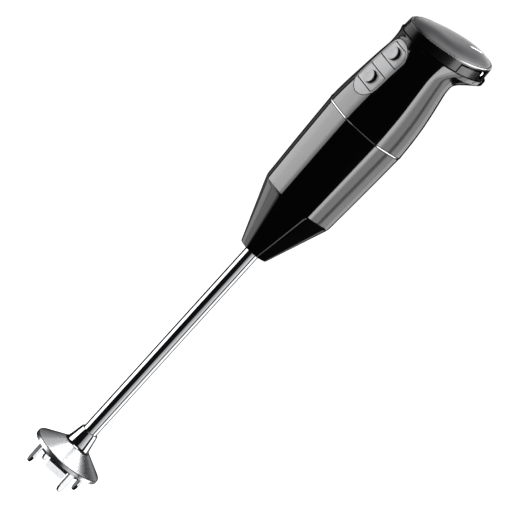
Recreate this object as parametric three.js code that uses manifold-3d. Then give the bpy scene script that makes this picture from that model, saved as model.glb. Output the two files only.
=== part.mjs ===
// A cordless immersion blender: a battery handle, a long steel arm and a guarded cross blade.
// Millimetres, +Z up along the drive axis, the buttons face -Y. The origin is the middle of the
// blade hub's lower face.
import * as THREE from 'three';
import { mergeVertices } from 'three/addons/utils/BufferGeometryUtils.js';
import Module from 'manifold-3d';

const wasm = await Module();
wasm.setup();

// ---- driving dimensions ----

const gap = 0.3; // clearance between pieces that meet
const runGap = 0.35; // clearance round the pieces that turn

// foot
const prongDrop = 7.5; // prong tips below the blade hub
const prongLength = 16; // from the tips to the guard's rim
const prongWidth = 4.6;
const prongThickness = 2.2;
const prongInset = 5.6; // from the guard's rim in to the middle of a prong
const prongTurn = 14.4; // degrees from the front to the first prong
const prongFlat = 1.2; // width of the flat at a prong's tip
const prongCount = 4;
const rimRadius = 25.6;
const rimBand = 3.4; // height of the upright band at the rim
const rimRound = 1.3; // fall-off from the band to the cone
const bellWall = 1.3;
const coneHeight = 8.9; // from the band to the foot of the collar
const collarWall = 1.2; // collar at its upper end, round the tube
const collarSpread = 2.3; // how much wider the collar is at the cone
const collarHeight = 12.2;

// arm
const tubeRadius = 5.3;
const tubeWall = 0.8;
const flangeStand = 1; // how far the tube's flange overlaps the handle's nose
const flangeThickness = 1.5;
const tubeSeat = 9; // length of tube inside the guard's collar
const armLength = 162.9; // visible tube between the collar and the nose
const collarSink = 9.5; // length of tube inside the handle's nose
const shaftRadius = 2;
const bushHeight = 7;
const sealHeight = 3;
const sealWall = 1.4; // rubber round the tube in the handle's nose
const pinRadius = 0.75;
const pinLength = 7.4;

// blade
const hubRadius = 4.4;
const hubHeight = 11.5;
const hubFloor = 1.4;
const pinHeight = 9.6; // drive pin above the hub's lower face
const bladeHeight = 2.1; // blade plate above the hub's lower face
const bladeSheet = 1;
const wingReach = 8.6; // from the axis to a bent-down wing
const wingWidth = 15;
const wingDrop = 6; // how far a wing hangs below the plate's top
const cutterGap = 2.7; // cutter tips to the prongs
const cutterWidth = 6.5;
const bladeTurn = 45; // degrees from the front to a wing

// handle
const housingWall = 2;
const noseRadius = 11; // flat-to-middle distance at the nose
const noseRound = 1.3;
const noseFloor = 1.5; // extra thickness of the nose's floor
const taperLength = 42.8;
const taperRadius = 26.9;
const waistLength = 65.6; // from the taper to the trim ring
const waistRadius = 29.95; // the widest, at the trim ring
const cornerShare = 0.46; // how round the eight corners are, as a share of the flat's distance
const ringHeight = 0.9;
const ringStand = 0.2; // how far the ring stands out
const spigotHeight = 8;
const spigotWall = 1.6;
const gripLength = 54.5; // from the trim ring to the narrowest neck
const neckLean = 1.2; // how far the neck leans to the front
const flareHeight = 12.2; // from the neck to the seam under the pack

// battery pack head
const headSpread = 1; // head's half width beyond the neck
const headFront = 33; // front reach from the head's own middle
const headBack = 38; // back reach from the head's own middle
const headOffset = 5; // head's middle behind the drive axis
const headHeight = 8.8; // seam to rim on the drive axis
const seamTilt = 0.085; // rise of the seam towards the back
const rimTilt = 0.122; // rise of the rim towards the back
const headLean = 0.4; // how far the wall leans in at the rim
const headWall = 1.8;
const headFloor = 1.6;
const rimLip = 1.5;
const domeHeight = 3.9;
const domeWall = 1.5;
const flangeLip = 0.5; // flange beyond the pack's wall
const flangeHook = 1.7; // how much further it reaches at the back
const flangeBand = 3; // height of the flange's upright edge
const flareCurve = 3; // how late the neck turns out into the flange; 1 would be straight
const lensWidth = 1.8;
const lensFront = 20; // lens ends behind the drive axis
const lensBack = 30;
const lensOffset = 3; // lens to the right of the middle
const contactDepth = 17; // charge contacts' inner ends from the middle
const boardReach = 15; // protection board's front reach
const springRadius = 2;
const springWire = 0.6;
const springEnd = 13.6; // release springs' inner ends from the middle

// release buttons
const releaseFront = 0.8; // nearest edge, behind the drive axis
const releaseLength = 22;
const releaseTop = 0.8; // share of the wall's height that the button reaches
const releaseTravel = 2;

// push buttons
const panelWidth = 21.4;
const panelFoot = 15.5; // panel's lower end above the trim ring
const panelLength = 44.2;
const panelRail = 1;
const panelEndLow = 6.6; // lower land
const panelEndHigh = 3.4; // upper land
const panelMiddle = 7.6; // land between the buttons
const padRadius = 4.5;
const padRise = 2.1;
const buttonTravel = 0.8;

// motor
const motorRadius = 17.5;
const motorWall = 1.4;
const motorLift = 39; // can's lower end above the nose
const motorShaftRadius = 1.6;
const magnetThickness = 2.8;
const magnetEnd = 4; // from the magnets' ends to the can's
const airGap = 0.5;
const coreStart = 7.5; // from the can's lower end to the core
const coreEnd = 6.5; // from the core to the can's upper end
const slotCount = 7;
const slotWidth = 3.4;
const windingRise = 4;
const commutatorRadius = 4.6;
const commutatorLength = 8;
const bearingRadius = 5;
const bearingHeight = 3.5;
const capThickness = 2.4;
const rearCapDepth = 13;
const fanRadius = 13.2;
const fanHeight = 6;
const fanBlades = 9;
const couplingRadius = 5.4;
const couplingHeight = 6;
const couplingRoom = 0.8; // between the tube's end and the lower coupling
const couplingCap = 2; // lower coupling above the shaft's end
const tongueHeight = 3;
const tongueWidth = 2.6;
const mountHeight = 6;
const brushWidth = 3.4;
const brushHeight = 4.6;
const brushLength = 6;
const holderSetback = 1.4; // holder's inner end behind the brush's
const holderWall = 0.9;

// battery
const cellRadius = 9.1;
const cellLength = 65;
const cellEdge = 0.45;
const nubRadius = 3.2; // a cell's upper contact
const nubHeight = 0.8;
const cellGap = 0.33; // between neighbouring cells
const trayWall = 0.6;
const trayRoom = 0.4; // round the tray at the narrowest neck
const boardThickness = 0.8;
const boardGap = 0.2; // between the board and the switches
const stopGap = 0.1; // left when a button is fully pressed
const switchDepth = 0.8;
const switchHalf = 3;
const plungerRadius = 1.5;

const headRoom = 8.2; // from the cells' upper end to the seam
const packLift = 3; // tray's lower end below the cells' lower end
const trayFloor = 1.2;
const trayDrop = 3.2; // tray's upper edge below the seam
const contactOffset = 9; // battery contacts from the middle
const contactWidth = 5;
const contactThickness = 2.4;
const contactStand = 1.2; // how far the contacts stick out of the tray
const leafThickness = 0.8;
const leafLength = 4.5;
const leafFoot = 0.6;
const blockThickness = 3; // terminal block
const blockGap = 1.6; // terminal block's top below the terminals' top
const motorRoom = 1; // between the motor's rear cap and the terminal block

const degree = Math.PI / 180;

// ---- materials ----

const finish = (color, roughness, metalness) => () =>
  new THREE.MeshStandardMaterial({ color, roughness, metalness });
const chrome = finish(0xd9dadd, 0.12, 1);
const steel = finish(0xb9bbbf, 0.3, 1);
const brass = finish(0xc9a458, 0.35, 1);
const copper = finish(0xb06a3a, 0.4, 1);
const blackGloss = finish(0x0c0c0d, 0.12, 0);
const panelGrey = finish(0x8f9094, 0.35, 0);
const headGrey = finish(0x3c3d40, 0.35, 0);
const trimGrey = finish(0xb6b7ba, 0.3, 0.6);
const rubber = finish(0x1c1c1e, 0.8, 0);
const nylon = finish(0xd8d4c8, 0.5, 0);
const darkPlastic = finish(0x2a2b2e, 0.6, 0);
const boardGreen = finish(0x1f5a35, 0.5, 0);
const cellBlue = finish(0x2d5f8f, 0.4, 0);
const graphite = finish(0x2f2f31, 0.7, 0.2);
const magnetGrey = finish(0x3b3a39, 0.6, 0.3);
const lensClear = finish(0xdfe8ea, 0.1, 0);

const blender = new THREE.Group();

// ---- solids ----

function signedVolume(geometry) {
  const position = geometry.getAttribute('position');
  const index = geometry.index.array;
  const [a, b, c] = [new THREE.Vector3(), new THREE.Vector3(), new THREE.Vector3()];
  let volume = 0;
  for (let i = 0; i < index.length; i += 3) {
    a.fromBufferAttribute(position, index[i]);
    b.fromBufferAttribute(position, index[i + 1]);
    c.fromBufferAttribute(position, index[i + 2]);
    volume += a.dot(b.cross(c));
  }
  return volume;
}

// A closed three.js geometry as a solid, its faces turned outwards.
function solid(geometry) {
  const bare = geometry.clone();
  bare.deleteAttribute('normal');
  bare.deleteAttribute('uv');
  const merged = mergeVertices(bare, 1e-4);
  const triVerts = new Uint32Array(merged.index.array);
  if (signedVolume(merged) < 0) {
    for (let i = 0; i < triVerts.length; i += 3) {
      [triVerts[i + 1], triVerts[i + 2]] = [triVerts[i + 2], triVerts[i + 1]];
    }
  }
  return new wasm.Manifold(new wasm.Mesh({
    numProp: 3,
    vertProperties: merged.getAttribute('position').array,
    triVerts,
  }));
}

function place(name, body, material) {
  const { vertProperties, triVerts } = body.getMesh();
  const geometry = new THREE.BufferGeometry();
  geometry.setAttribute('position', new THREE.BufferAttribute(vertProperties, 3));
  geometry.setIndex(new THREE.BufferAttribute(triVerts, 1));
  geometry.computeVertexNormals();
  const mesh = new THREE.Mesh(geometry, material());
  mesh.name = name;
  blender.add(mesh);
}

// A solid of revolution about Z from [radius, height] points; a ring's outline closes on itself.
function turned(outline, sides = 32) {
  const points = outline.map(([radius, height]) => new THREE.Vector2(radius, height));
  return solid(new THREE.LatheGeometry(points, sides).rotateX(Math.PI / 2));
}

const disc = (radius, low, high, sides) =>
  turned([[0, low], [radius, low], [radius, high], [0, high]], sides);

const ring = (outer, inner, low, high, sides) =>
  turned([[inner, low], [outer, low], [outer, high], [inner, high], [inner, low]], sides);

function block(x0, x1, y0, y1, z0, z1) {
  const box = new THREE.BoxGeometry(x1 - x0, y1 - y0, z1 - z0);
  return solid(box.translate((x0 + x1) / 2, (y0 + y1) / 2, (z0 + z1) / 2));
}

// A flat shape drawn in XZ and carried along Y from y0 to y1.
function slab(shape, y0, y1, curveSegments = 6) {
  const extruded = new THREE.ExtrudeGeometry(shape, { depth: y1 - y0, bevelEnabled: false, curveSegments });
  return solid(extruded.rotateX(Math.PI / 2).translate(0, y1, 0));
}

const turn = (body, degrees) => body.rotate([0, 0, degrees]);

// Two distances from the middle plane as an ordered pair of x values on one side.
const sideSpan = (side, a, b) => [Math.min(side * a, side * b), Math.max(side * a, side * b)];

const bothSides = [[-1, 'left'], [1, 'right']];

// A round bar along X through the axis.
const lying = (radius, length) => disc(radius, -length / 2, length / 2, 12).rotate([0, 90, 0]);

// Stands a body drawn along +Z on the -Y axis.
const facing = (body) => body.rotate([90, 0, 0]);

// ---- sizes worked out from the dimensions ----

const cellPitch = (2 * cellRadius + cellGap) / Math.sqrt(3); // from the axis to a cell's middle
const trayRadius = cellPitch + cellRadius + gap + trayWall;
const neckRadius = trayRadius + trayRoom + neckLean + housingWall;
const headHalfWidth = neckRadius + headSpread;
const prongRadius = rimRadius - prongInset;
const cutterReach = prongRadius - prongThickness / 2 - cutterGap;
const collarTop = tubeRadius + collarWall;
const collarFoot = collarTop + collarSpread;
const noseBore = tubeRadius + gap + sealWall;
const flangeRadius = noseBore + flangeStand;

const tipZ = -prongDrop;
const rimZ = tipZ + prongLength;
const bandZ = rimZ + rimBand;
const collarZ = bandZ + coneHeight;
const collarEndZ = collarZ + collarHeight;
const tubeZ = collarEndZ - tubeSeat;
const noseZ = collarEndZ + armLength;
const taperZ = noseZ + noseRound + taperLength;
const waistZ = taperZ + waistLength;
const ringZ = waistZ + gap;
const gripZ = ringZ + ringHeight + gap;
const neckZ = gripZ + gripLength;
const seamZ = neckZ + flareHeight;
const rimTopZ = seamZ + headHeight;
const cellTopZ = seamZ - headRoom;
const cellZ = cellTopZ - cellLength;
const trayZ = cellZ - packLift;
const terminalTopZ = trayZ - contactStand - gap;
const blockTopZ = terminalTopZ - blockGap;
const blockZ = blockTopZ - blockThickness;

// ---- guard ----

function guardBody() {
    const bossZ = collarZ - coneHeight * 0.85;
  const bell = turned([
    [rimRadius - bellWall, rimZ],
    [rimRadius, rimZ],
    [rimRadius, bandZ - rimRound],
    [rimRadius - rimRound * 0.4, bandZ - rimRound * 0.35],
    [rimRadius - rimRound * 1.5, bandZ + rimRound * 0.3],
    [collarFoot, collarZ],
    [collarTop, collarEndZ],
    [tubeRadius + gap, collarEndZ],
    [tubeRadius + gap, tubeZ - gap],
    [tubeRadius + gap, bossZ],
    [collarFoot, bossZ],
    [collarFoot, collarZ - coneHeight * 0.3],
    [collarFoot + bellWall, collarZ - bellWall * 1.6],
    [rimRadius - bellWall, bandZ - rimRound * 1.2],
    [rimRadius - bellWall, rimZ],
  ], 40);
  const half = prongWidth / 2;
  const reach = prongThickness / 2;
  const coneFoot = rimRadius - rimRound * 1.5;
  const rootShare = (coneFoot - prongRadius - reach) / (coneFoot - collarFoot);
  const rootZ = bandZ + coneHeight * rootShare;
  const tip = new THREE.Shape();
  tip.moveTo(-prongFlat / 2, tipZ);
  tip.lineTo(prongFlat / 2, tipZ);
  tip.quadraticCurveTo(half, tipZ + half * 0.8, half, tipZ + half * 2.2);
  tip.lineTo(half, rootZ);
  tip.lineTo(-half, rootZ);
  tip.lineTo(-half, tipZ + half * 2.2);
  tip.quadraticCurveTo(-half, tipZ + half * 0.8, -prongFlat / 2, tipZ);
  const prong = slab(tip, -prongRadius - reach, -prongRadius + reach, 5);
  let guard = bell;
  for (let i = 0; i < prongCount; i += 1) {
    guard = guard.add(turn(prong, (i * 360) / prongCount - prongTurn));
  }
  return guard;
}
place('guard', guardBody(), chrome);

// ---- arm ----

const flangeZ = noseZ + housingWall + noseFloor + gap;
const tubeTopZ = noseZ + collarSink;
place('shaft_tube', turned([
  [tubeRadius - tubeWall, tubeZ],
  [tubeRadius, tubeZ],
  [tubeRadius, flangeZ],
  [flangeRadius, flangeZ],
  [flangeRadius, flangeZ + flangeThickness],
  [tubeRadius, flangeZ + flangeThickness],
  [tubeRadius, tubeTopZ],
  [tubeRadius - tubeWall, tubeTopZ],
  [tubeRadius - tubeWall, tubeZ],
], 32), chrome);

const bore = tubeRadius - tubeWall - gap;
const bushZ = tubeZ + gap;
const sealZ = tubeZ - gap - sealHeight;
place('lower_bush', ring(bore, shaftRadius + runGap, bushZ, bushZ + bushHeight, 24), brass);
place('shaft_seal', turned([
  [shaftRadius + runGap, sealZ],
  [shaftRadius + runGap + 0.8, sealZ - 0.9],
  [tubeRadius, sealZ],
  [tubeRadius, sealZ + sealHeight],
  [shaftRadius + runGap + 0.8, sealZ + sealHeight],
  [shaftRadius + runGap, sealZ],
], 24), rubber);
const upperBushZ = tubeTopZ - bushHeight - gap;
place('upper_bush', ring(bore, shaftRadius + runGap, upperBushZ, upperBushZ + bushHeight, 24), brass);

// ---- handle outline ----

const corners = 8;
const cornerSteps = 3;
const sides = corners * (cornerSteps + 1);

// One point of a unit octagon with rounded corners, a flat facing each of the eight directions.
function octagonPoint(side) {
  const corner = Math.floor(side / (cornerSteps + 1));
  const step = side % (cornerSteps + 1);
  const middle = (corner + 0.5) * (360 / corners) * degree;
  const normal = (corner + step / cornerSteps) * (360 / corners) * degree;
  const reach = (1 - cornerShare) / Math.cos(Math.PI / corners);
  return [
    reach * Math.cos(middle) + cornerShare * Math.cos(normal),
    reach * Math.sin(middle) + cornerShare * Math.sin(normal),
  ];
}

// One point of the pack head's egg-shaped outline, pulled in by inset.
function headPoint(side, inset) {
  const angle = ((side + 0.5) * 2 * Math.PI) / sides;
  const depth = (Math.sin(angle) < 0 ? headFront : headBack) - inset;
  return [(headHalfWidth - inset) * Math.cos(angle), headOffset + depth * Math.sin(angle)];
}

// A lathe whose rings are reshaped: each [first, second] of the outline goes through the rule.
function shaped(outline, rule) {
  const points = outline.map(([first, second]) => new THREE.Vector2(first, second));
  const geometry = new THREE.LatheGeometry(points, sides);
  const position = geometry.getAttribute('position');
  for (let i = 0; i < position.count; i += 1) {
    const side = Math.floor(i / outline.length) % sides;
    const [first, second] = outline[i % outline.length];
    position.setXYZ(i, ...rule(side, first, second));
  }
  return solid(geometry);
}

function octagonRule(side, radius, height) {
  const [x, y] = octagonPoint(side);
  return [x * radius, y * radius, height];
}

const smooth = (value) => {
  const share = Math.min(Math.max(value, 0), 1);
  return share * share * (3 - 2 * share);
};

// Distance from the middle of the grip to its flats, from the ring (0) to the neck (1).
const gripRadius = (share) => waistRadius - (waistRadius - neckRadius) * Math.min(share / 0.93, 1) ** 1.5;

const leanAt = (share) => neckLean * smooth((share - 0.35) / 0.65);

// The grip and its flare: octagon below, the head's outline at the seam, leaning to the front at the neck.
function gripRule(side, inset, height) {
  const share = Math.max((height - gripZ) / gripLength, 0);
  const flare = Math.min(Math.max((height - neckZ) / (flareHeight - flangeBand), 0), 1) ** flareCurve;
  const radius = gripRadius(Math.min(share, 1)) - inset;
  const [x, y] = octagonPoint(side);
  const backwards = Math.max(Math.sin(((side + 0.5) * 2 * Math.PI) / sides), 0);
  const [headX, headY] = headPoint(side, inset - flangeLip - flangeHook * backwards);
  const lean = leanAt(share);
  const mixedY = (y * radius - lean) * (1 - flare) + headY * flare;
  return [x * radius * (1 - flare) + headX * flare, mixedY, height + seamTilt * mixedY * flare];
}

// The pack head's wall between the seam (0) and the rim (1).
function headRule(side, inset, share) {
  const [x, y] = headPoint(side, inset + headLean * share);
  const low = seamZ + seamTilt * y;
  const high = rimTopZ + rimTilt * y;
  return [x, y, low + (high - low) * share];
}

// ---- lower housing, nose seal, trim ring ----

// Distance from the axis to the lower housing's inner flats, above the taper.
function housingInner(height) {
  return taperRadius - housingWall + ((waistRadius - taperRadius) * (height - taperZ)) / waistLength;
}

const spigotRadius = waistRadius - housingWall - gap;
const spigotZ = waistZ + spigotHeight;
const spigotTopRadius = gripRadius((spigotZ - gripZ) / gripLength) - housingWall - gap * 1.5;
place('lower_housing', shaped([
  [noseBore, noseZ],
  [noseRadius - noseRound, noseZ],
  [noseRadius - noseRound * 0.25, noseZ + noseRound * 0.3],
  [noseRadius, noseZ + noseRound],
  [taperRadius - 0.5, taperZ - 1],
  [taperRadius + 0.1, taperZ + 0.8],
  [(taperRadius + waistRadius) / 2 + 0.15, (taperZ + waistZ) / 2],
  [waistRadius, waistZ],
  [spigotRadius, waistZ],
  [spigotTopRadius, spigotZ],
  [spigotTopRadius - spigotWall, spigotZ],
  [spigotTopRadius - spigotWall, waistZ - housingWall],
  [housingInner(waistZ - spigotHeight), waistZ - spigotHeight],
  [taperRadius - housingWall, taperZ + 1],
  [noseRadius - housingWall + 1.2, noseZ + housingWall + noseFloor],
  [noseBore, noseZ + housingWall + noseFloor],
  [noseBore, noseZ],
], octagonRule), blackGloss);

const sealTopZ = noseZ + housingWall + noseFloor;
place('nose_seal', ring(noseBore - gap, tubeRadius + gap, noseZ - 0.4, sealTopZ, 32), rubber);

place('trim_ring', shaped([
  [spigotRadius + gap, ringZ],
  [waistRadius + ringStand, ringZ],
  [waistRadius + ringStand, ringZ + ringHeight],
  [spigotRadius + gap, ringZ + ringHeight],
  [spigotRadius + gap, ringZ],
], octagonRule), trimGrey);

// ---- upper housing, button bezel, push buttons ----

const gripSteps = 5;
const flareSteps = 5;
const between = (from, to, steps) =>
  Array.from({ length: steps + 1 }, (unused, i) => from + ((to - from) * i) / steps);
const levels = [
  ...between(gripZ, neckZ, gripSteps),
  ...between(neckZ, seamZ - flangeBand, flareSteps).slice(1),
  seamZ,
];
const shellOutline = [
  ...levels.map((height) => [0, height]),
  ...levels.slice().reverse().map((height) => [housingWall, height]),
  [0, gripZ],
];
const gripShell = shaped(shellOutline, gripRule);
const gripSolid = shaped([
  [false, gripZ],
  ...levels.map((height) => [true, height]),
  [false, seamZ],
], (side, outside, height) => (outside ? gripRule(side, 0, height) : [0, 0, height]));

const panelZ = gripZ + panelFoot;
const panelTopZ = panelZ + panelLength;
// A panel outline with round ends, grown by extra.
function panelShape(extra) {
  const half = panelWidth / 2 + extra;
  const shape = new THREE.Shape();
  shape.moveTo(half, panelTopZ - panelWidth / 2);
  shape.absarc(0, panelTopZ - panelWidth / 2, half, 0, Math.PI, false);
  shape.lineTo(-half, panelZ + panelWidth / 2);
  shape.absarc(0, panelZ + panelWidth / 2, half, Math.PI, 2 * Math.PI, false);
  return shape;
}
const front = -(waistRadius + 5); // a plane in front of the handle
const buttonHeight = (panelLength - panelEndLow - panelEndHigh - panelMiddle) / 2;
const lowButtonZ = panelZ + panelEndLow;
const highButtonZ = panelTopZ - panelEndHigh - buttonHeight;
const buttonSpans = [
  ['low', lowButtonZ, lowButtonZ + buttonHeight],
  ['high', highButtonZ, highButtonZ + buttonHeight],
];
const buttonColumn = slab(panelShape(-panelRail), front, 0, 8);
const buttonWindow = (low, high) => buttonColumn.intersect(block(front, -front, front, 0, low, high));

place('upper_housing', gripShell.subtract(slab(panelShape(gap), front, -neckRadius / 2, 8)), blackGloss);

let bezel = gripShell.intersect(slab(panelShape(0), front, -neckRadius / 2, 8));
for (const [, low, high] of buttonSpans) {
  bezel = bezel.subtract(buttonWindow(low, high));
}
place('button_bezel', bezel, panelGrey);

// The switch board stands in front of the battery, the micro switches and plungers in front of the board.
const boardBackY = -(trayRadius + gap);
const boardFrontY = boardBackY - boardThickness;
const switchBackY = boardFrontY - boardGap;
const switchFrontY = switchBackY - switchDepth;
const plungerBackY = boardFrontY - stopGap - buttonTravel;
const buttonBackY = switchFrontY - stopGap - buttonTravel;

// The grip's front flat at a height.
function frontY(height) {
  const share = (height - gripZ) / gripLength;
  return -(gripRadius(Math.min(share, 1)) + leanAt(share));
}

const boardHalf = 8;
place('switch_board',
  block(-boardHalf, boardHalf, boardFrontY, boardBackY, panelZ + 3, panelTopZ - 1), boardGreen);

const padEdge = 0.45; // bevel round a pad
const buttonCut = slab(panelShape(-panelRail - gap), front, 0, 8);
for (const [level, low, high] of buttonSpans) {
  const middle = (low + high) / 2;
  const key = gripSolid.intersect(buttonCut)
    .intersect(block(front, -front, front, buttonBackY, low + gap, high - gap));
  const padTop = -frontY(middle) + padRise;
  const pad = facing(turned([
    [0, -buttonBackY],
    [padRadius, -buttonBackY],
    [padRadius, padTop - padEdge],
    [padRadius - padEdge, padTop],
    [0, padTop],
  ], 28)).translate([0, 0, middle]);
  place(`button_${level}`, key.add(pad), panelGrey);
  const plate = block(-switchHalf, switchHalf, switchFrontY, switchBackY,
    middle - switchHalf, middle + switchHalf);
  const well = facing(disc(plungerRadius + gap, 0, -front, 16)).translate([0, 0, middle]);
  place(`switch_${level}`, plate.subtract(well), darkPlastic);
  const plunger = facing(disc(plungerRadius, -plungerBackY, -buttonBackY - gap, 16));
  place(`plunger_${level}`, plunger.translate([0, 0, middle]), nylon);
}

// ---- drive ----

const shaftLowZ = hubFloor + gap;
const couplingZ = tubeTopZ + couplingRoom;
const couplingTopZ = couplingZ + couplingHeight;
const shaftTopZ = couplingTopZ - couplingCap;
place('drive_shaft', disc(shaftRadius, shaftLowZ, shaftTopZ, 24)
  .subtract(lying(pinRadius + gap, pinLength * 2).translate([0, 0, pinHeight])), steel);
place('drive_pin', lying(pinRadius, pinLength).translate([0, 0, pinHeight]), steel);

const pinSlot = pinRadius + runGap;
place('blade_hub', disc(hubRadius, 0, hubHeight, 32)
  .subtract(disc(shaftRadius + gap, hubFloor, hubHeight + 1, 24))
  .subtract(block(-pinLength, pinLength, -pinSlot, pinSlot, pinHeight - pinSlot, hubHeight + 1)), steel);

function bladeBody() {
  const low = bladeHeight;
  const high = bladeHeight + bladeSheet;
  const halfWing = wingWidth / 2;
  let body = block(-halfWing, halfWing, -wingReach, wingReach, low, high);
  for (const side of [-1, 1]) {
    const [inner, outer] = sideSpan(side, wingReach - bladeSheet, wingReach);
    body = body.add(block(-halfWing, halfWing, inner, outer, high - wingDrop, high));
  }
  const half = cutterWidth / 2;
  const cutter = new THREE.Shape();
  cutter.moveTo(-cutterReach, -half * 0.5);
  cutter.lineTo(-cutterReach + half, -half);
  cutter.lineTo(cutterReach - half, -half);
  cutter.lineTo(cutterReach, half * 0.5);
  cutter.lineTo(cutterReach - half, half);
  cutter.lineTo(-cutterReach + half, half);
  const arms = new THREE.ExtrudeGeometry(cutter, { depth: bladeSheet, bevelEnabled: false });
  body = body.add(solid(arms.translate(0, 0, low)));
  return body.subtract(disc(hubRadius + gap, low - 1, high + 1, 32));
}
place('blade', turn(bladeBody(), bladeTurn), steel);

place('coupling_lower', disc(couplingRadius, couplingZ, couplingTopZ, 24)
  .subtract(disc(shaftRadius + gap, couplingZ - 1, shaftTopZ + gap, 24))
  .add(block(-couplingRadius * 0.9, couplingRadius * 0.9, -tongueWidth / 2, tongueWidth / 2,
    couplingTopZ - 0.5, couplingTopZ + tongueHeight)), nylon);
const upperCouplingZ = couplingTopZ + gap;
const upperCouplingTopZ = upperCouplingZ + couplingHeight + tongueHeight;
const motorShaftZ = upperCouplingZ + tongueHeight + 1.5;
place('coupling_upper', disc(couplingRadius, upperCouplingZ, upperCouplingTopZ, 24)
  .subtract(disc(motorShaftRadius + gap, motorShaftZ - gap, upperCouplingTopZ + 1, 20))
  .subtract(block(-couplingRadius * 2, couplingRadius * 2, -tongueWidth / 2 - gap, tongueWidth / 2 + gap,
    upperCouplingZ - 1, upperCouplingZ + tongueHeight + gap)), nylon);

// ---- motor ----

const canZ = noseZ + motorLift;
const canTopZ = blockZ - motorRoom - rearCapDepth - gap;
const frontCapZ = canZ - gap - capThickness;
const fanZ = frontCapZ - 1.2 - fanHeight;
const bearingSeat = bearingRadius + gap;

function fanBody() {
  const hub = ring(motorShaftRadius + 2.4, motorShaftRadius + gap, fanZ, fanZ + fanHeight, 20);
  const plate = ring(fanRadius, motorShaftRadius + 1.5, fanZ + fanHeight - 1.1, fanZ + fanHeight, 32);
  let fan = hub.add(plate);
  const blade = block(motorShaftRadius + 2, fanRadius - 0.3, -0.5, 0.5, fanZ + 0.6, fanZ + fanHeight - 0.6);
  for (let i = 0; i < fanBlades; i += 1) {
    fan = fan.add(turn(blade, (i * 360) / fanBlades));
  }
  return fan;
}
place('cooling_fan', fanBody(), nylon);

place('motor_can', ring(motorRadius, motorRadius - motorWall, canZ, canTopZ, 40), steel);

const magnetRadius = motorRadius - motorWall - gap;
const magnetInner = magnetRadius - magnetThickness;
const magnetRing = ring(magnetRadius, magnetInner, canZ + magnetEnd, canTopZ - magnetEnd, 40);
const poleGap = 3;
for (const [side, name] of bothSides) {
  const [inner, outer] = sideSpan(side, poleGap, motorRadius);
  const half = block(inner, outer, -motorRadius, motorRadius, canZ, canTopZ);
  place(`magnet_${name}`, magnetRing.intersect(half), magnetGrey);
}

const coreRadius = magnetInner - airGap;
const coreZ = canZ + coreStart;
const coreTopZ = canTopZ - coreEnd;
const slotDepth = coreRadius * 0.5;
const slotFloor = coreRadius - slotDepth;
const slotBody = block(slotFloor, coreRadius + 1, -slotWidth / 2, slotWidth / 2, coreZ - 1, coreTopZ + 1);
let core = ring(coreRadius, motorShaftRadius + gap, coreZ, coreTopZ, 42);
const bundle = block(
  slotFloor + gap,
  coreRadius - 1,
  -slotWidth / 2 + gap,
  slotWidth / 2 - gap,
  coreZ - gap - 1,
  coreTopZ + gap + 1,
);
const windingInner = slotFloor - 1.5;
const windingHead = (low) => ring(coreRadius - 0.8, windingInner, low, low + windingRise, 28);
let windings = windingHead(coreZ - gap - windingRise).add(windingHead(coreTopZ + gap));
for (let i = 0; i < slotCount; i += 1) {
  core = core.subtract(turn(slotBody, (i * 360) / slotCount));
  windings = windings.add(turn(bundle, (i * 360) / slotCount));
}
place('armature_core', core, steel);
place('windings', windings, copper);

const commutatorZ = canTopZ + 1;
const commutatorTopZ = commutatorZ + commutatorLength;
place('commutator', ring(commutatorRadius, motorShaftRadius + gap, commutatorZ, commutatorTopZ, 24), copper);

function bearing(low) {
  const middle = (bearingRadius + motorShaftRadius) / 2;
  const high = low + bearingHeight;
  return turned([
    [motorShaftRadius + runGap, low],
    [middle - 0.6, low],
    [middle - 0.4, low + 0.4],
    [middle + 0.4, low + 0.4],
    [middle + 0.6, low],
    [bearingRadius, low],
    [bearingRadius, high],
    [middle + 0.6, high],
    [middle + 0.4, high - 0.4],
    [middle - 0.4, high - 0.4],
    [middle - 0.6, high],
    [motorShaftRadius + runGap, high],
    [motorShaftRadius + runGap, low],
  ], 24);
}
const frontBearingZ = frontCapZ + 0.8;
place('front_bearing', bearing(frontBearingZ), steel);
place('front_cap', turned([
  [motorShaftRadius + 1.2, frontCapZ],
  [motorRadius, frontCapZ],
  [motorRadius, frontCapZ + capThickness],
  [bearingSeat + 1.2, frontCapZ + capThickness],
  [bearingSeat + 1.2, frontBearingZ + bearingHeight],
  [bearingSeat, frontBearingZ + bearingHeight],
  [bearingSeat, frontBearingZ - gap],
  [motorShaftRadius + 1.2, frontBearingZ - gap],
  [motorShaftRadius + 1.2, frontCapZ],
], 40), steel);

const rearCapZ = canTopZ + gap;
const rearCapTopZ = rearCapZ + rearCapDepth;
const rearBearingZ = rearCapTopZ - bearingHeight - 0.8;
const brushMiddle = (commutatorZ + commutatorTopZ) / 2;
const holderOuter = motorRadius - motorWall - gap * 2;
const rearCap = turned([
  [motorRadius, rearCapZ],
  [motorRadius, rearCapTopZ],
  [motorShaftRadius + 1.2, rearCapTopZ],
  [motorShaftRadius + 1.2, rearCapTopZ - 0.5],
  [bearingSeat, rearCapTopZ - 0.5],
  [bearingSeat, rearBearingZ],
  [bearingSeat + 1, rearBearingZ],
  [bearingSeat + 1, rearCapTopZ - capThickness],
  [motorRadius - motorWall, rearCapTopZ - capThickness],
  [motorRadius - motorWall, rearCapZ],
  [motorRadius, rearCapZ],
], 40);
place('rear_cap', rearCap, darkPlastic);
place('rear_bearing', bearing(rearBearingZ), steel);
const motorShaftTopZ = rearCapTopZ - 0.5 - gap;
place('motor_shaft', disc(motorShaftRadius, motorShaftZ, motorShaftTopZ, 20), steel);

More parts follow.
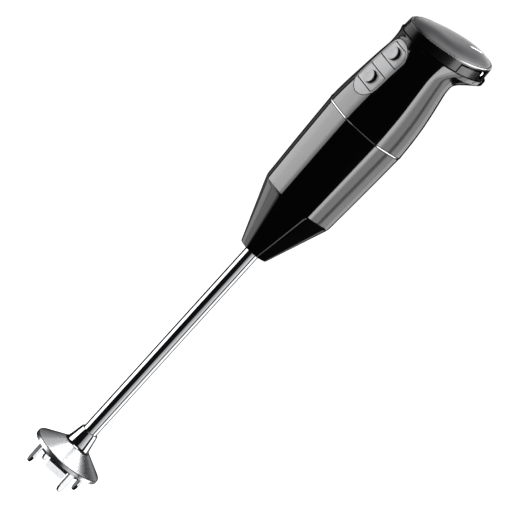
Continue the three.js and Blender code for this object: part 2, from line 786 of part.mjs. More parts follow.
const brushInner = commutatorRadius + gap;
for (const [side, name] of bothSides) {
  const brushBlock = (inner, outer, extra) => block(
    ...sideSpan(side, inner, outer),
    -brushWidth / 2 - extra,
    brushWidth / 2 + extra,
    brushMiddle - brushHeight / 2 - extra,
    brushMiddle + brushHeight / 2 + extra,
  );
  const holder = brushBlock(brushInner + holderSetback, holderOuter, gap + holderWall);
  place(`brush_holder_${name}`, holder.subtract(brushBlock(0, holderOuter - holderWall, gap)), brass);
  place(`brush_${name}`, brushBlock(brushInner, brushInner + brushLength, 0), graphite);
}

// Rubber rings hold the motor in the housing: octagonal outside, round inside.
function mountRing(low) {
  const outer = housingInner(low) - gap * 2;
  const high = low + mountHeight;
  const outside = shaped([
    [0, low],
    [outer, low],
    [outer, high],
    [0, high],
  ], octagonRule);
  return outside.subtract(disc(motorRadius + gap, low - 1, high + 1, 40));
}
place('motor_mount_front', mountRing(taperZ + 4), rubber);
place('motor_mount_rear', mountRing(canTopZ - 2), rubber);

// ---- battery ----

const cellCount = 3;
const trayTopZ = seamZ - trayDrop;
const trayFloorZ = trayZ + trayFloor;

// An upright plate at one contact's place, grown by extra.
const contactPlate = (side, thickness, low, high, extra = 0) => block(
  side * contactOffset - contactWidth / 2 - extra,
  side * contactOffset + contactWidth / 2 + extra,
  -thickness / 2 - extra,
  thickness / 2 + extra,
  low,
  high,
);

let tray = turned([
  [0, trayZ],
  [trayRadius, trayZ],
  [trayRadius, trayTopZ],
  [trayRadius - trayWall, trayTopZ],
  [trayRadius - trayWall, trayFloorZ],
  [0, trayFloorZ],
], 48);
for (const [side] of bothSides) {
  tray = tray.subtract(contactPlate(side, contactThickness, trayZ - 1, trayFloorZ + 1, gap));
}
place('battery_tray', tray, darkPlastic);

const shoulderZ = cellTopZ - nubHeight;
const cellBody = turned([
  [0, cellZ],
  [cellRadius - cellEdge, cellZ],
  [cellRadius, cellZ + cellEdge],
  [cellRadius, shoulderZ - cellEdge],
  [cellRadius - cellEdge, shoulderZ],
  [nubRadius, shoulderZ],
  [nubRadius, cellTopZ],
  [0, cellTopZ],
], 28).translate([0, cellPitch, 0]);
for (let i = 0; i < cellCount; i += 1) {
  place(`battery_cell_${i + 1}`, turn(cellBody, (i * 360) / cellCount), cellBlue);
}

// The pack's contacts stick out of the tray's floor and meet the handle's terminals.
for (const [side, name] of bothSides) {
  const contact = contactPlate(side, contactThickness, trayZ - contactStand, trayFloorZ + gap);
  place(`pack_contact_${name}`, contact, brass);
  const leaf = contactPlate(side, leafThickness, terminalTopZ - leafLength, terminalTopZ)
    .add(contactPlate(side, contactThickness, terminalTopZ - leafFoot, terminalTopZ));
  place(`terminal_${name}`, leaf, brass);
}

// ---- terminal block ----

let terminalBlock = shaped([
  [0, blockZ],
  [spigotTopRadius - spigotWall - gap * 2, blockZ],
  [spigotTopRadius - spigotWall - gap * 2, blockTopZ],
  [0, blockTopZ],
], octagonRule);
for (const [side] of bothSides) {
  terminalBlock = terminalBlock.subtract(contactPlate(side, leafThickness, blockZ - 1, blockTopZ + 1, gap));
}
place('terminal_block', terminalBlock, darkPlastic);

// ---- pack head ----

// A body between two shares of the head wall's height and two distances along Y, carried along X.
function headBand(y0, y1, low, high, x0, x1) {
  const at = (y, share) => {
    const foot = seamZ + seamTilt * y;
    return foot + (rimTopZ + rimTilt * y - foot) * share;
  };
  const shape = new THREE.Shape();
  shape.moveTo(y0, at(y0, low));
  shape.lineTo(y1, at(y1, low));
  shape.lineTo(y1, at(y1, high));
  shape.lineTo(y0, at(y0, high));
  const geometry = new THREE.ExtrudeGeometry(shape, { depth: x1 - x0, bevelEnabled: false });
  geometry.applyMatrix4(new THREE.Matrix4().makeBasis(
    new THREE.Vector3(0, 1, 0),
    new THREE.Vector3(0, 0, 1),
    new THREE.Vector3(1, 0, 0),
  ));
  return solid(geometry.translate(x0, 0, 0));
}

const centre = headHalfWidth; // an inset this deep is the head's middle
function headRing(side, inset, share) {
  if (inset < centre) return headRule(side, inset, share);
  const low = seamZ + seamTilt * headOffset;
  return [0, headOffset, low + (rimTopZ + rimTilt * headOffset - low) * share];
}

const footShare = 0.05;
const shelfShare = 1 - (domeWall + 1) / headHeight; // shelf under the domed panel
const floorShare = footShare + headFloor / headHeight;
let head = shaped([
  [centre, footShare],
  [0.3, footShare],
  [0, footShare + 0.04],
  [0, 0.94],
  [0.4, 1],
  [rimLip, 1],
  [rimLip, shelfShare],
  [rimLip * 2, shelfShare],
  [headWall, shelfShare - rimLip / headHeight],
  [headWall, floorShare],
  [centre, floorShare],
], headRing);
// A ring that follows the head's wall, from outset to inset.
const wallRing = (outer, inner) => shaped([
  [inner, -0.2],
  [outer, -0.2],
  [outer, 1],
  [inner, 1],
  [inner, -0.2],
], headRule);
const headSkin = wallRing(0, headWall);
const releaseWell = wallRing(-1, headWall + releaseTravel + gap);

const releaseBack = releaseFront + releaseLength;
const releaseMiddle = (releaseFront + releaseBack) / 2;
const latchReach = headHalfWidth - headWall - 3;
const latchThickness = 1.4;
const postThickness = 1.4; // posts behind the release springs
const chargeContactLength = 3;
const latchHalf = 2.5;
const latchDrop = 1.4;
const slotEnd = releaseBack + 1.2;
const slotLength = 5;
for (const [side, name] of bothSides) {
  const span = (a, b) => sideSpan(side, a, b);
  const far = headHalfWidth + 3;
  const wellInner = headHalfWidth - headWall - releaseTravel - 3;
  head = head.subtract(releaseWell.intersect(
    headBand(releaseFront, releaseBack, -0.2, releaseTop, ...span(headHalfWidth / 2, far)),
  ));
  const latchInner = latchReach - releaseTravel - gap;
  head = head.subtract(headBand(releaseMiddle - latchHalf - gap, releaseMiddle + latchHalf + gap,
    -0.2, floorShare + 0.1, ...span(latchInner, far)));
  const keyTop = releaseTop - gap / headHeight;
  const key = headSkin.intersect(headBand(releaseFront + gap, releaseBack - gap, footShare, keyTop,
    ...span(wellInner, far)));
  const arm = headBand(releaseMiddle - latchHalf, releaseMiddle + latchHalf, footShare + 0.25, 0.72,
    ...span(latchReach, headHalfWidth - 1.4));
  const tongueTop = seamZ + seamTilt * releaseMiddle + headHeight * 0.4;
  const tongue = block(...span(latchReach, latchReach + latchThickness), releaseMiddle - latchHalf,
    releaseMiddle + latchHalf, seamZ - latchDrop, tongueTop);
  place(`release_button_${name}`, key.add(arm).add(tongue), headGrey);
  head = head.subtract(
    headBand(slotEnd, slotEnd + slotLength, 0.18, 0.82, ...span(headHalfWidth * 0.6, far)));
  head = head.add(headBand(releaseMiddle - latchHalf, releaseMiddle + latchHalf, footShare + 0.1, 0.75,
    ...span(springEnd - postThickness, springEnd)));
  const springZ = seamZ + seamTilt * releaseMiddle + headHeight * 0.53;
  const spring = ring(springRadius, springRadius - springWire, springEnd + gap, latchReach - gap, 16)
    .rotate([0, 90, 0])
    .translate([0, releaseMiddle, springZ]);
  const coil = side > 0 ? spring : turn(spring.translate([0, -2 * releaseMiddle, 0]), 180);
  place(`release_spring_${name}`, coil, steel);
  place(`charge_contact_${name}`, headBand(slotEnd + 1.6, slotEnd + slotLength - 1.6, 0.34, 0.66,
    ...span(contactDepth, contactDepth + chargeContactLength)), steel);
}
place('pack_head', head, headGrey);

const boardShare = 0.36;
place('protection_board', headBand(-boardReach, boardReach + headOffset * 2, boardShare,
  boardShare + boardThickness / headHeight, -springEnd + 2, springEnd - 2), boardGreen);

const domeSteps = 5;
const domeInset = (share) => rimLip + gap + (centre - rimLip - gap) * share;
const domeRise = (share) => domeHeight * (1 - (1 - share) ** 3);
const domeLevels = Array.from({ length: domeSteps + 1 }, (unused, i) => i / domeSteps);
function domeRule(side, inset, lift) {
  const [x, y, z] = headRing(side, inset, 1);
  return [x, y, z + lift];
}
const dome = shaped([
  ...domeLevels.map((share) => [domeInset(share), domeRise(share)]),
  ...domeLevels.slice().reverse().map((share) => [domeInset(share), domeRise(share) - domeWall]),
  [domeInset(0), 0],
], domeRule);

// The charge indicator's window, a round-ended bar along Y.
function lensShape(extra) {
  const half = lensWidth / 2 + extra;
  const shape = new THREE.Shape();
  shape.moveTo(half, lensBack);
  shape.absarc(0, lensBack, half, 0, Math.PI, false);
  shape.lineTo(-half, lensFront);
  shape.absarc(0, lensFront, half, Math.PI, 2 * Math.PI, false);
  const bar = new THREE.ExtrudeGeometry(shape,
    { depth: headHeight * 3, bevelEnabled: false, curveSegments: 6 });
  return solid(bar.translate(lensOffset, 0, seamZ));
}
place('pack_cap', dome.subtract(lensShape(gap / 2)), headGrey);
place('indicator_lens', dome.intersect(lensShape(0)), lensClear);

export default blender;
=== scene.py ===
from math import copysign, cos, hypot, pi, radians, sin, sqrt, tan

import bmesh
import bpy
from mathutils import Matrix, Vector


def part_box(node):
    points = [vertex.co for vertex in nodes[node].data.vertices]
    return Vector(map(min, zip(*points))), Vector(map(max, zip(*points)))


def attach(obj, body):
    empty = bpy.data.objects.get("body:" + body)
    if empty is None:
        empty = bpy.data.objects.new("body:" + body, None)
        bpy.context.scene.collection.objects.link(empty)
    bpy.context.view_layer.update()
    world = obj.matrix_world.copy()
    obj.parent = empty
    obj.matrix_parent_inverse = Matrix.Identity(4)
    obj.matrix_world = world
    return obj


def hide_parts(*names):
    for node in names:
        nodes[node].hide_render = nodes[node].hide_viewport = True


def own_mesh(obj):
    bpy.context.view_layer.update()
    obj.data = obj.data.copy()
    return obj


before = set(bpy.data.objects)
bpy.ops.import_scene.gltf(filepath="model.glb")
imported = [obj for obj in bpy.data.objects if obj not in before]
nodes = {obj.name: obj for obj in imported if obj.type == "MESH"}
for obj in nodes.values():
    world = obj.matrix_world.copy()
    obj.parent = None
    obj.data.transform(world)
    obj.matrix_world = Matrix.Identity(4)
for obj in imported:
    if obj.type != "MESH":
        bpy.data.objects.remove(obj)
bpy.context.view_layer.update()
print("frame loaded:", len(nodes), "nodes")

mm = 0.001


# small helpers for meshes; lengths are millimetres until the mesh is made

def addObject(name, data):
    obj = bpy.data.objects.new(name, data)
    bpy.context.scene.collection.objects.link(obj)
    return obj


def makeObject(name, verts, faces, sharpAngle=32):
    mesh = bpy.data.meshes.new(name)
    mesh.from_pydata([Vector(v) * mm for v in verts], [], faces)
    bm = bmesh.new()
    bm.from_mesh(mesh)
    bmesh.ops.remove_doubles(bm, verts=bm.verts, dist=1e-6)
    bmesh.ops.dissolve_degenerate(bm, dist=1e-7, edges=bm.edges)
    bmesh.ops.recalc_face_normals(bm, faces=bm.faces)
    smoothEdges(bm, sharpAngle)
    bm.to_mesh(mesh)
    bm.free()
    obj = addObject(name, mesh)
    return obj


def smoothEdges(bm, sharpAngle):
    limit = radians(sharpAngle)
    for face in bm.faces:
        face.smooth = True
    for edge in bm.edges:
        edge.smooth = len(edge.link_faces) == 2 and edge.calc_face_angle(0) < limit


def loft(name, outline, rule, steps, sharpAngle=32):
    # rings of one outline carried round the axis; the outline closes on itself or ends on the axis
    closed = outline[0] == outline[-1]
    points = outline[:-1] if closed else outline
    count = len(points)
    verts = [rule(step, *point) for step in range(steps) for point in points]
    faces = []
    for step in range(steps):
        here, there = step * count, ((step + 1) % steps) * count
        for i in range(count if closed else count - 1):
            j = (i + 1) % count
            faces.append((here + i, there + i, there + j, here + j))
    return makeObject(name, verts, faces, sharpAngle)


def lathe(name, outline, steps=96, sharpAngle=32):
    def rule(step, radius, height):
        angle = 2 * pi * step / steps
        return radius * cos(angle), radius * sin(angle), height
    return loft(name, outline, rule, steps, sharpAngle)


def curved(low, mid, high, share):
    # a point of the curve from low to high that bends towards mid
    rest = 1 - share
    return tuple(low[k] * rest ** 2 + mid[k] * 2 * share * rest + high[k] * share * share for k in (0, 1))


def stadium(offset, foot, top, radius, steps):
    # an upright slot with round ends
    turns = [pi * k / steps for k in range(steps + 1)]
    return ([(offset + radius * cos(a), top + radius * sin(a)) for a in turns]
            + [(offset - radius * cos(a), foot - radius * sin(a)) for a in turns])


def prism(name, outline, low, high, axis="Y"):
    # a flat outline carried along one axis
    count = len(outline)
    order = {"Y": lambda a, b, c: (a, c, b), "Z": lambda a, b, c: (a, b, c), "X": lambda a, b,
             c: (c, a, b)}[axis]
    verts = [order(a, b, low) for a, b in outline] + [order(a, b, high) for a, b in outline]
    faces = [tuple(range(count)), tuple(range(2 * count - 1, count - 1, -1))]
    for i in range(count):
        j = (i + 1) % count
        faces.append((i, count + i, count + j, j))
    return makeObject(name, verts, faces)


def corner(points, radius, steps=4):
    # the same closed outline with every corner rounded
    out = []
    for i, point in enumerate(points):
        here = Vector(point)
        before = Vector(points[i - 1]) - here
        after = Vector(points[(i + 1) % len(points)]) - here
        reach = min(radius, before.length * 0.45, after.length * 0.45)
        start = here + before.normalized() * reach
        end = here + after.normalized() * reach
        for k in range(steps + 1):
            t = k / steps
            out.append(tuple(start * (1 - t) ** 2 + here * 2 * t * (1 - t) + end * t ** 2))
    return out


def settle(obj, sharpAngle=32, weighted=True):
    # the modifiers' result becomes the mesh, with the shading set again by angle
    graph = bpy.context.evaluated_depsgraph_get()
    mesh = bpy.data.meshes.new_from_object(obj.evaluated_get(graph), depsgraph=graph)
    obj.modifiers.clear()
    old = obj.data
    obj.data = mesh
    bpy.data.meshes.remove(old)
    bm = bmesh.new()
    bm.from_mesh(mesh)
    bmesh.ops.remove_doubles(bm, verts=bm.verts, dist=2e-6)
    smoothEdges(bm, sharpAngle)
    bm.to_mesh(mesh)
    bm.free()
    if weighted:
        modifier = obj.modifiers.new("evenShading", "WEIGHTED_NORMAL")
        modifier.keep_sharp = True
        modifier.weight = 80
    return obj


def combine(obj, other, operation):
    modifier = obj.modifiers.new(operation.lower(), "BOOLEAN")
    modifier.operation = operation
    modifier.object = other
    modifier.solver = "EXACT"
    settle(obj, weighted=False)
    bpy.data.objects.remove(other)
    return obj


def soften(obj, width, angle=35, segments=3, sharpAngle=50):
    modifier = obj.modifiers.new("edges", "BEVEL")
    modifier.width = width * mm
    modifier.segments = segments
    modifier.limit_method = "ANGLE"
    modifier.angle_limit = radians(angle)
    modifier.miter_outer = "MITER_ARC"
    modifier.harden_normals = False
    return settle(obj, sharpAngle)


def dress(obj, finish, slotName, body, *replaced):
    obj.data.materials.clear()
    obj.data.materials.append(finish)
    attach(obj, body)
    if replaced:
        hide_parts(*replaced)
    return obj


# finishes

def newFinish(name, **sockets):
    material = bpy.data.materials.new(name)
    material.use_nodes = True
    tree = material.node_tree
    shader = tree.nodes["Principled BSDF"]
    for label, value in sockets.items():
        shader.inputs[label.replace("_", " ")].default_value = value
    coords = tree.nodes.new("ShaderNodeTexCoord")
    return material, tree, shader, coords


def link(tree, source, target):
    tree.links.new(source, target)


def noise(tree, coords, scale, detail=4, stretch=None, rough=0.55):
    texture = tree.nodes.new("ShaderNodeTexNoise")
    texture.inputs["Scale"].default_value = scale
    texture.inputs["Detail"].default_value = detail
    texture.inputs["Roughness"].default_value = rough
    if stretch:
        mapping = tree.nodes.new("ShaderNodeMapping")
        mapping.inputs["Scale"].default_value = stretch
        link(tree, coords.outputs["Object"], mapping.inputs["Vector"])
        link(tree, mapping.outputs["Vector"], texture.inputs["Vector"])
    else:
        link(tree, coords.outputs["Object"], texture.inputs["Vector"])
    return texture.outputs["Fac"]


def spread(tree, fac, low, high, fromLow=0.3, fromHigh=0.7):
    # a noise value stretched to run between two numbers
    node = tree.nodes.new("ShaderNodeMapRange")
    for label, value in (("From Min", fromLow), ("From Max", fromHigh), ("To Min", low), ("To Max", high)):
        node.inputs[label].default_value = value
    link(tree, fac, node.inputs["Value"])
    return node.outputs["Result"]


def tint(tree, fac, dark, light):
    ramp = tree.nodes.new("ShaderNodeValToRGB")
    ramp.color_ramp.elements[0].position = 0.3
    ramp.color_ramp.elements[1].position = 0.7
    ramp.color_ramp.elements[0].color = (*dark, 1)
    ramp.color_ramp.elements[1].color = (*light, 1)
    link(tree, fac, ramp.inputs["Fac"])
    return ramp.outputs["Color"]


def bump(tree, shader, height, strength, distance=0.0001):
    node = tree.nodes.new("ShaderNodeBump")
    node.inputs["Strength"].default_value = strength
    node.inputs["Distance"].default_value = distance
    link(tree, height, node.inputs["Height"])
    link(tree, node.outputs["Normal"], shader.inputs["Normal"])


def worn(tree, shader, edgeColour, baseColour, amount=0.5):
    # paler where edges stand out, as handling leaves them
    geometry = tree.nodes.new("ShaderNodeNewGeometry")
    edges = spread(tree, geometry.outputs["Pointiness"], 0, amount, 0.52, 0.6)
    mix = tree.nodes.new("ShaderNodeMix")
    mix.data_type = "RGBA"
    link(tree, edges, mix.inputs["Factor"])
    link(tree, baseColour, mix.inputs["A"])
    mix.inputs["B"].default_value = (*edgeColour, 1)
    link(tree, mix.outputs["Result"], shader.inputs["Base Color"])


def metalFinish(name, dark, light, roughness, grain, stretch, wear=0.0):
    material, tree, shader, coords = newFinish(name, Metallic=1.0)
    cloud = noise(tree, coords, 60)
    lines = noise(tree, coords, grain, 6, stretch)
    colour = tint(tree, cloud, dark, light)
    if wear:
        worn(tree, shader, tuple(min(c * 1.15, 1) for c in light), colour, wear)
    else:
        link(tree, colour, shader.inputs["Base Color"])
    link(tree, spread(tree, lines, *roughness), shader.inputs["Roughness"])
    bump(tree, shader, lines, 0.12, 0.00002)
    return material


def mouldedFinish(name, dark, light, roughness, grain, grainDepth, wear=0.25, **sockets):
    material, tree, shader, coords = newFinish(name, **sockets)
    cloud = noise(tree, coords, 35, 3)
    fine = noise(tree, coords, grain, 5)
    worn(tree, shader, tuple(min(c * 1.5 + 0.01, 1) for c in light), tint(tree, cloud, dark, light), wear)
    link(tree, spread(tree, fine, *roughness), shader.inputs["Roughness"])
    bump(tree, shader, fine, grainDepth, 0.00004)
    return material


def chromeFinish(name, satinBelow=None):
    # polished all over, or satin below a height
    material, tree, shader, coords = newFinish(name, Metallic=1.0)
    haze = noise(tree, coords, 45, 3)
    hairlines = noise(tree, coords, 900, 8, (1, 1, 0.05))
    link(tree, tint(tree, haze, (0.79, 0.80, 0.82), (0.86, 0.87, 0.89)), shader.inputs["Base Color"])
    polish = spread(tree, haze, 0.04, 0.08)
    if satinBelow is not None:
        height = tree.nodes.new("ShaderNodeSeparateXYZ")
        link(tree, coords.outputs["Object"], height.inputs["Vector"])
        satin = spread(tree, height.outputs["Z"], 0.2, 0, satinBelow - 0.001, satinBelow + 0.0005)
        both = tree.nodes.new("ShaderNodeMath")
        both.operation = "ADD"
        link(tree, polish, both.inputs[0])
        link(tree, satin, both.inputs[1])
        polish = both.outputs["Value"]
    link(tree, polish, shader.inputs["Roughness"])
    bump(tree, shader, hairlines, 0.03, 0.00001)
    return material


def glossBlackFinish():
    material, tree, shader, coords = newFinish("glossBlackMoulding", IOR=1.5)
    cloud = noise(tree, coords, 30, 3)
    dust = noise(tree, coords, 1400, 2)
    flow = noise(tree, coords, 120, 2)
    link(tree, tint(tree, cloud, (0.0012, 0.0012, 0.0013), (0.0022, 0.0022, 0.0024)),
         shader.inputs["Base Color"])
    mix = tree.nodes.new("ShaderNodeMath")
    mix.operation = "ADD"
    link(tree, spread(tree, cloud, 0.06, 0.1), mix.inputs[0])
    link(tree, spread(tree, dust, 0, 0.03, 0.55, 0.75), mix.inputs[1])
    link(tree, mix.outputs["Value"], shader.inputs["Roughness"])
    bump(tree, shader, flow, 0.02, 0.00004)
    return material


def lensGlowFinish():
    # the indicator window is a real part; its white glow is painted light, standing in for the bright
    # highlight on it
    material, tree, shader, coords = newFinish(
        "frostedLensGlow", Transmission_Weight=0.35, IOR=1.46, Emission_Strength=0.55)
    cloud = noise(tree, coords, 500, 3)
    link(tree, tint(tree, cloud, (0.85, 0.88, 0.9), (0.96, 0.97, 0.98)), shader.inputs["Base Color"])
    link(tree, tint(tree, cloud, (0.85, 0.88, 0.9), (0.96, 0.97, 0.98)), shader.inputs["Emission Color"])
    link(tree, spread(tree, cloud, 0.15, 0.3), shader.inputs["Roughness"])
    bump(tree, shader, cloud, 0.05)
    return material


def boardFinish():
    material, tree, shader, coords = newFinish("solderMask", IOR=1.5)
    tracks = tree.nodes.new("ShaderNodeTexBrick")
    tracks.inputs["Scale"].default_value = 260
    tracks.inputs["Mortar Size"].default_value = 0.03
    tracks.inputs["Color1"].default_value = (0.02, 0.15, 0.06, 1)
    tracks.inputs["Color2"].default_value = (0.03, 0.2, 0.08, 1)
    tracks.inputs["Mortar"].default_value = (0.1, 0.3, 0.12, 1)
    mapping = tree.nodes.new("ShaderNodeMapping")
    mapping.inputs["Rotation"].default_value = (pi / 2, 0, 0)
    link(tree, coords.outputs["Object"], mapping.inputs["Vector"])
    link(tree, mapping.outputs["Vector"], tracks.inputs["Vector"])
    link(tree, tracks.outputs["Color"], shader.inputs["Base Color"])
    fine = noise(tree, coords, 700)
    link(tree, spread(tree, fine, 0.3, 0.45), shader.inputs["Roughness"])
    bump(tree, shader, tracks.outputs["Fac"], 0.3, 0.00003)
    return material


def sleeveFinish():
    material, tree, shader, coords = newFinish("cellSleeve", Coat_Weight=0.3)
    wrinkle = noise(tree, coords, 160, 4, (1, 1, 0.25))
    bands = tree.nodes.new("ShaderNodeTexWave")
    bands.bands_direction = "Z"
    bands.inputs["Scale"].default_value = 9
    bands.inputs["Distortion"].default_value = 0.4
    link(tree, coords.outputs["Object"], bands.inputs["Vector"])
    link(tree, tint(tree, bands.outputs["Fac"], (0.04, 0.17, 0.34), (0.07, 0.27, 0.5)),
         shader.inputs["Base Color"])
    link(tree, spread(tree, wrinkle, 0.25, 0.4), shader.inputs["Roughness"])
    bump(tree, shader, wrinkle, 0.15)
    return material


finishes = {
    "chrome_polish": chromeFinish("polishedChrome"),
    "steel": metalFinish("groundSteel", (0.5, 0.51, 0.53), (0.68, 0.69, 0.71), (0.18, 0.34), 500,
                         (1, 1, 12), 0.2),
    "brass": metalFinish("plainBrass", (0.6, 0.44, 0.2), (0.78, 0.62, 0.32), (0.25, 0.4), 400, (1, 1, 6),
                         0.2),
    "copper": metalFinish("enamelledCopper", (0.5, 0.2, 0.08), (0.78, 0.38, 0.18), (0.22, 0.38), 900,
                          (1, 1, 30), 0.1),
    "gloss_black": glossBlackFinish(),
    "panel_grey": mouldedFinish("satinGreyPanel", (0.2, 0.2, 0.207), (0.24, 0.24, 0.247), (0.3, 0.42),
                                1100, 0.08,
                                0.15),
    "head_grey": mouldedFinish("satinDarkHead", (0.006, 0.006, 0.0065), (0.01, 0.01, 0.011), (0.2, 0.28),
                               1300, 0.08,
                               0.0, Specular_IOR_Level=0.3),
    "trim": metalFinish("satinTrim", (0.26, 0.265, 0.275), (0.34, 0.345, 0.355), (0.16, 0.24), 700,
                        (1, 1, 20), 0.0),
    "rubber": mouldedFinish("softRubber", (0.012, 0.012, 0.012), (0.022, 0.022, 0.022), (0.65, 0.85), 900,
                            0.25, 0.2),
    "nylon": mouldedFinish("naturalNylon", (0.66, 0.63, 0.55), (0.78, 0.75, 0.68), (0.4, 0.55), 600, 0.12,
                           0.1,
                           Subsurface_Weight=0.08),
    "dark_plastic": mouldedFinish("matteDarkMoulding", (0.025, 0.025, 0.028), (0.045, 0.045, 0.05),
                                  (0.45, 0.6),
                                  900, 0.18),
    "board": boardFinish(),
    "cell": sleeveFinish(),
    "graphite": mouldedFinish("pressedCarbon", (0.02, 0.02, 0.022), (0.05, 0.05, 0.053), (0.4, 0.7), 1500,
                              0.3),
    "magnet": mouldedFinish("sinteredFerrite", (0.05, 0.048, 0.046), (0.1, 0.095, 0.09), (0.5, 0.7), 700,
                            0.3),
    "lens": lensGlowFinish(),
}
for name, node in nodes.items():
    node.data.materials[0] = finishes[node.data.materials[0].name.split(".")[0]]
coverFinish = mouldedFinish("satinGreyCover", (0.085, 0.085, 0.089), (0.13, 0.13, 0.136), (0.28, 0.38),
                            900, 0.14,
                            0.2)
# paler metal for the head's top chamfer, a painted highlight
rimHighlightFinish = metalFinish("paintedHighlightRim", (0.16, 0.16, 0.165), (0.21, 0.21, 0.215), (0.22, 0.3), 900, (1, 1, 1))
# a near-black finish that is painted shade: it darkens the pads' sides and the walls of the wells and slots
# where shadow falls
shadeBlackFinish = mouldedFinish("paintedShadeBlack", (0.001, 0.001, 0.001), (0.003, 0.003, 0.003), (0.3, 0.4), 900,
                            0.08, 0.0,
                            Specular_IOR_Level=0.1)
print("finishes made:", len(finishes), "for the slots, and cover, rim and skirt")


# heights along the drive axis, from the blade hub's lower face
heights = {
    "tip": -7.5, "rim": 8.5, "band": 11.9, "collar": 20.8, "collarEnd": 33.0, "tube": 24.0, "nose": 195.9,
    "taper": 240.0, "waist": 305.6, "ring": 305.9, "grip": 307.1, "neck": 361.6, "seam": 373.8,
    "top": 382.6,
}


# the rounded octagon of the handle, and how it turns into the egg-shaped head

octagon = {"cornerSteps": 9, "flatSteps": 6, "cornerShare": 0.46, "neckShare": 0.52, "crown": 5.0,
           "noseFlat": 11.0,
           "taperFlat": 26.9, "waistFlat": 29.95, "neckFlat": 24.31, "neckLean": 1.2}
sideSteps = octagon["cornerSteps"] + octagon["flatSteps"]
ringSteps = 8 * sideSteps
egg = {"halfWidth": 25.31, "front": 33.0, "back": 38.0, "offset": 5.0, "lean": 0.4, "seamTilt": 0.085,
       "rimTilt": 0.122, "flangeLip": 0.7, "flangeHook": 1.3, "flangeBand": 3.0, "flareHeight": 12.2,
       "sideCurve": 1.7, "backCurve": 3.0}


def octagonPoint(side, share=octagon["cornerShare"]):
    # an eighth at a time: the rounded corner, then the slightly crowned flat that follows it
    steps, crown = octagon["cornerSteps"], radians(octagon["crown"])
    index, step = side // sideSteps, side % sideSteps
    halfFlat = (1 - share) * tan(pi / 8)
    flatRadius = share + halfFlat / sin(crown)
    size = 1 / (1 + halfFlat * tan(crown / 2))
    if step <= steps:
        middle = (index + 0.5) * pi / 4
        normal = index * pi / 4 + crown + (pi / 4 - 2 * crown) * step / steps
        reach = (1 - share) / cos(pi / 8)
        radius = share
    else:
        middle = (index + 1) * pi / 4
        normal = middle + crown * (2 * (step - steps) / octagon["flatSteps"] - 1)
        reach = 1 - share - (flatRadius - share) * cos(crown)
        radius = flatRadius
    return (size * (reach * cos(middle) + radius * cos(normal)),
            size * (reach * sin(middle) + radius * sin(normal)))


def turnOf(side):
    # the direction of a point of the ring; the corners take most of the turn
    steps = octagon["cornerSteps"]
    index, step = side // sideSteps, side % sideSteps
    along = min(step, steps) + max(step - steps, 0) / octagon["flatSteps"]
    return (index * (steps + 1) + along + 0.5) * 2 * pi / (8 * (steps + 1))


def octagonRule(side, radius, height):
    x, y = octagonPoint(side)
    return x * radius, y * radius, height


def eggPoint(side, inset):
    angle = turnOf(side)
    depth = (egg["front"] if sin(angle) < 0 else egg["back"]) - inset
    return (egg["halfWidth"] - inset) * cos(angle), egg["offset"] + depth * sin(angle)


def ease(value):
    share = min(max(value, 0), 1)
    return share * share * (3 - 2 * share)


def gripShare(height):
    return (height - heights["grip"]) / (heights["neck"] - heights["grip"])


def gripFlat(share):
    waist, neck = octagon["waistFlat"], octagon["neckFlat"]
    return waist - (waist - neck) * min(max(share, 0) / 0.93, 1) ** 1.5


def gripRule(side, inset, height):
    share = max(gripShare(height), 0)
    backwards = max(sin(turnOf(side)), 0)
    curve = egg["sideCurve"] + (egg["backCurve"] - egg["sideCurve"]) * backwards
    band = egg["flangeBand"] * (0.12 + 0.88 * ease((sin(turnOf(side)) + 0.6) / 0.9))
    flare = min(max((height - heights["neck"]) / (egg["flareHeight"] - band), 0), 1) ** curve
    radius = gripFlat(min(share, 1)) - inset
    rounder = (octagon["neckShare"] - octagon["cornerShare"]) * ease((share - 0.5) / 0.5)
    x, y = octagonPoint(side, octagon["cornerShare"] + rounder)
    headX, headY = eggPoint(side, inset - egg["flangeLip"] - egg["flangeHook"] * backwards)
    lean = octagon["neckLean"] * ease((share - 0.35) / 0.65)
    mixedY = (y * radius - lean) * (1 - flare) + headY * flare
    return x * radius * (1 - flare) + headX * flare, mixedY, height + egg["seamTilt"] * mixedY * flare


def wallHeight(y, share):
    # from the tilted seam at share 0 to the tilted rim at share 1
    low = heights["seam"] + egg["seamTilt"] * y
    return low + (heights["top"] + egg["rimTilt"] * y - low) * share


def headRule(side, inset, share):
    x, y = eggPoint(side, inset + egg["lean"] * share)
    return x, y, wallHeight(y, share)


def span(low, high, steps):
    return [low + (high - low) * i / steps for i in range(steps + 1)]


# lower housing: nose, long taper and waist
lowerHousing = {"wall": 2.0, "noseRound": 1.3, "spigotTop": 313.6, "noseBore": 7.0}


